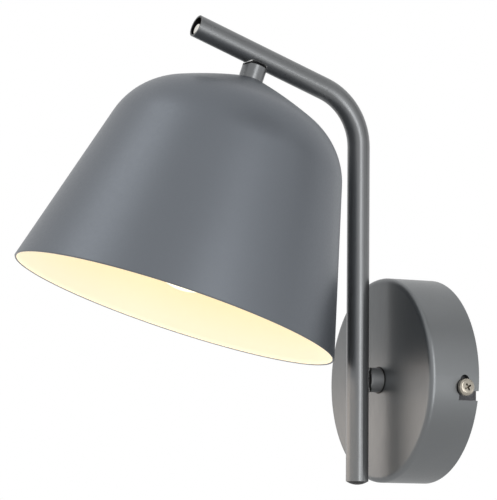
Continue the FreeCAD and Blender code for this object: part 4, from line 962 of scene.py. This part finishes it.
# %% [markdown]
# ## Lampholder skirt
# The skirt of a small screw lampholder has a coarse outer thread, on which a shade ring would sit,
# and a plain mouth round the bulb's neck. Its thread could be a helix too, but little of it shows
# past the bulb, so it is turned like the screws, with a wider, rounder thread.

# %% Lampholder
HOLDER_RADIUS, HOLDER_WALL, SKIRT_TOP, SKIRT_LENGTH = 12.5, 1.8, 30.9, 31.0
RIDGE_FIRST, RIDGE_PITCH, RIDGE_RUN, RIDGE_DEPTH, CREST = 4.5, 2.2, 24, 0.75, 0.1

skirt_line = [(HOLDER_RADIUS - HOLDER_WALL, -SKIRT_TOP), (HOLDER_RADIUS - 0.3, -SKIRT_TOP),
              (HOLDER_RADIUS, -SKIRT_TOP - 0.3), (HOLDER_RADIUS, -SKIRT_TOP - 4.0)]
drop = SKIRT_TOP + RIDGE_FIRST
while drop < SKIRT_TOP + RIDGE_RUN:
    skirt_line += [(HOLDER_RADIUS - RIDGE_DEPTH, -drop), (HOLDER_RADIUS - RIDGE_DEPTH, -drop - 0.5),
                   (HOLDER_RADIUS - CREST, -drop - 1.1), (HOLDER_RADIUS - CREST, -drop - 1.6)]
    drop += RIDGE_PITCH
skirt_end = SKIRT_TOP + SKIRT_LENGTH
skirt_line += [(HOLDER_RADIUS - 0.6, -skirt_end + 2.4), (HOLDER_RADIUS - 0.6, -skirt_end + 0.4),
               (HOLDER_RADIUS - 1.0, -skirt_end), (HOLDER_RADIUS - HOLDER_WALL + 0.2, -skirt_end),
               (HOLDER_RADIUS - HOLDER_WALL, -skirt_end + 0.3)]
skirt = turned("holder_skirt_threaded", skirt_line, closed=True)
settle(skirt, shade_place, "shade", white_plastic, "holder_skirt", slot="holder_plastic")
print(f"lampholder skirt ends {skirt_end:.1f} mm down the shade's axis")

# %% [markdown]
# ## The light that leaves the shade
# A real bulb is many times brighter than paper, and it would wash out the inside of the shade in
# a picture. Here the glass glows gently, and a round lamp across the shade's mouth, which faces
# out and shows in no picture itself, throws the rest of the warm light on the tube's foot and the
# canopy. It rides with the shade.

# %% Mouth glow
MOUTH_RADIUS, MOUTH_INSET, MOUTH_BRIGHTNESS, MOUTH_COLOUR = 60, 2, 10.0, (1.0, 0.87, 0.76)

bpy.ops.object.light_add(type="AREA")
mouth = bpy.context.object
mouth.name = "mouth_glow"
mouth.data.shape = "DISK"
mouth.data.size = 2 * MOUTH_RADIUS * MM
mouth.data.color = MOUTH_COLOUR
mouth.data.energy = MOUTH_BRIGHTNESS * math.pi ** 2 * (MOUTH_RADIUS * MM) ** 2
mouth.visible_camera = False
mouth.matrix_world = shade_place @ Matrix.Translation((0, 0, -(RIM_DROP - MOUTH_INSET) * MM))
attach(mouth, "shade")
print(f"mouth glow of {mouth.data.energy:.2f} W")
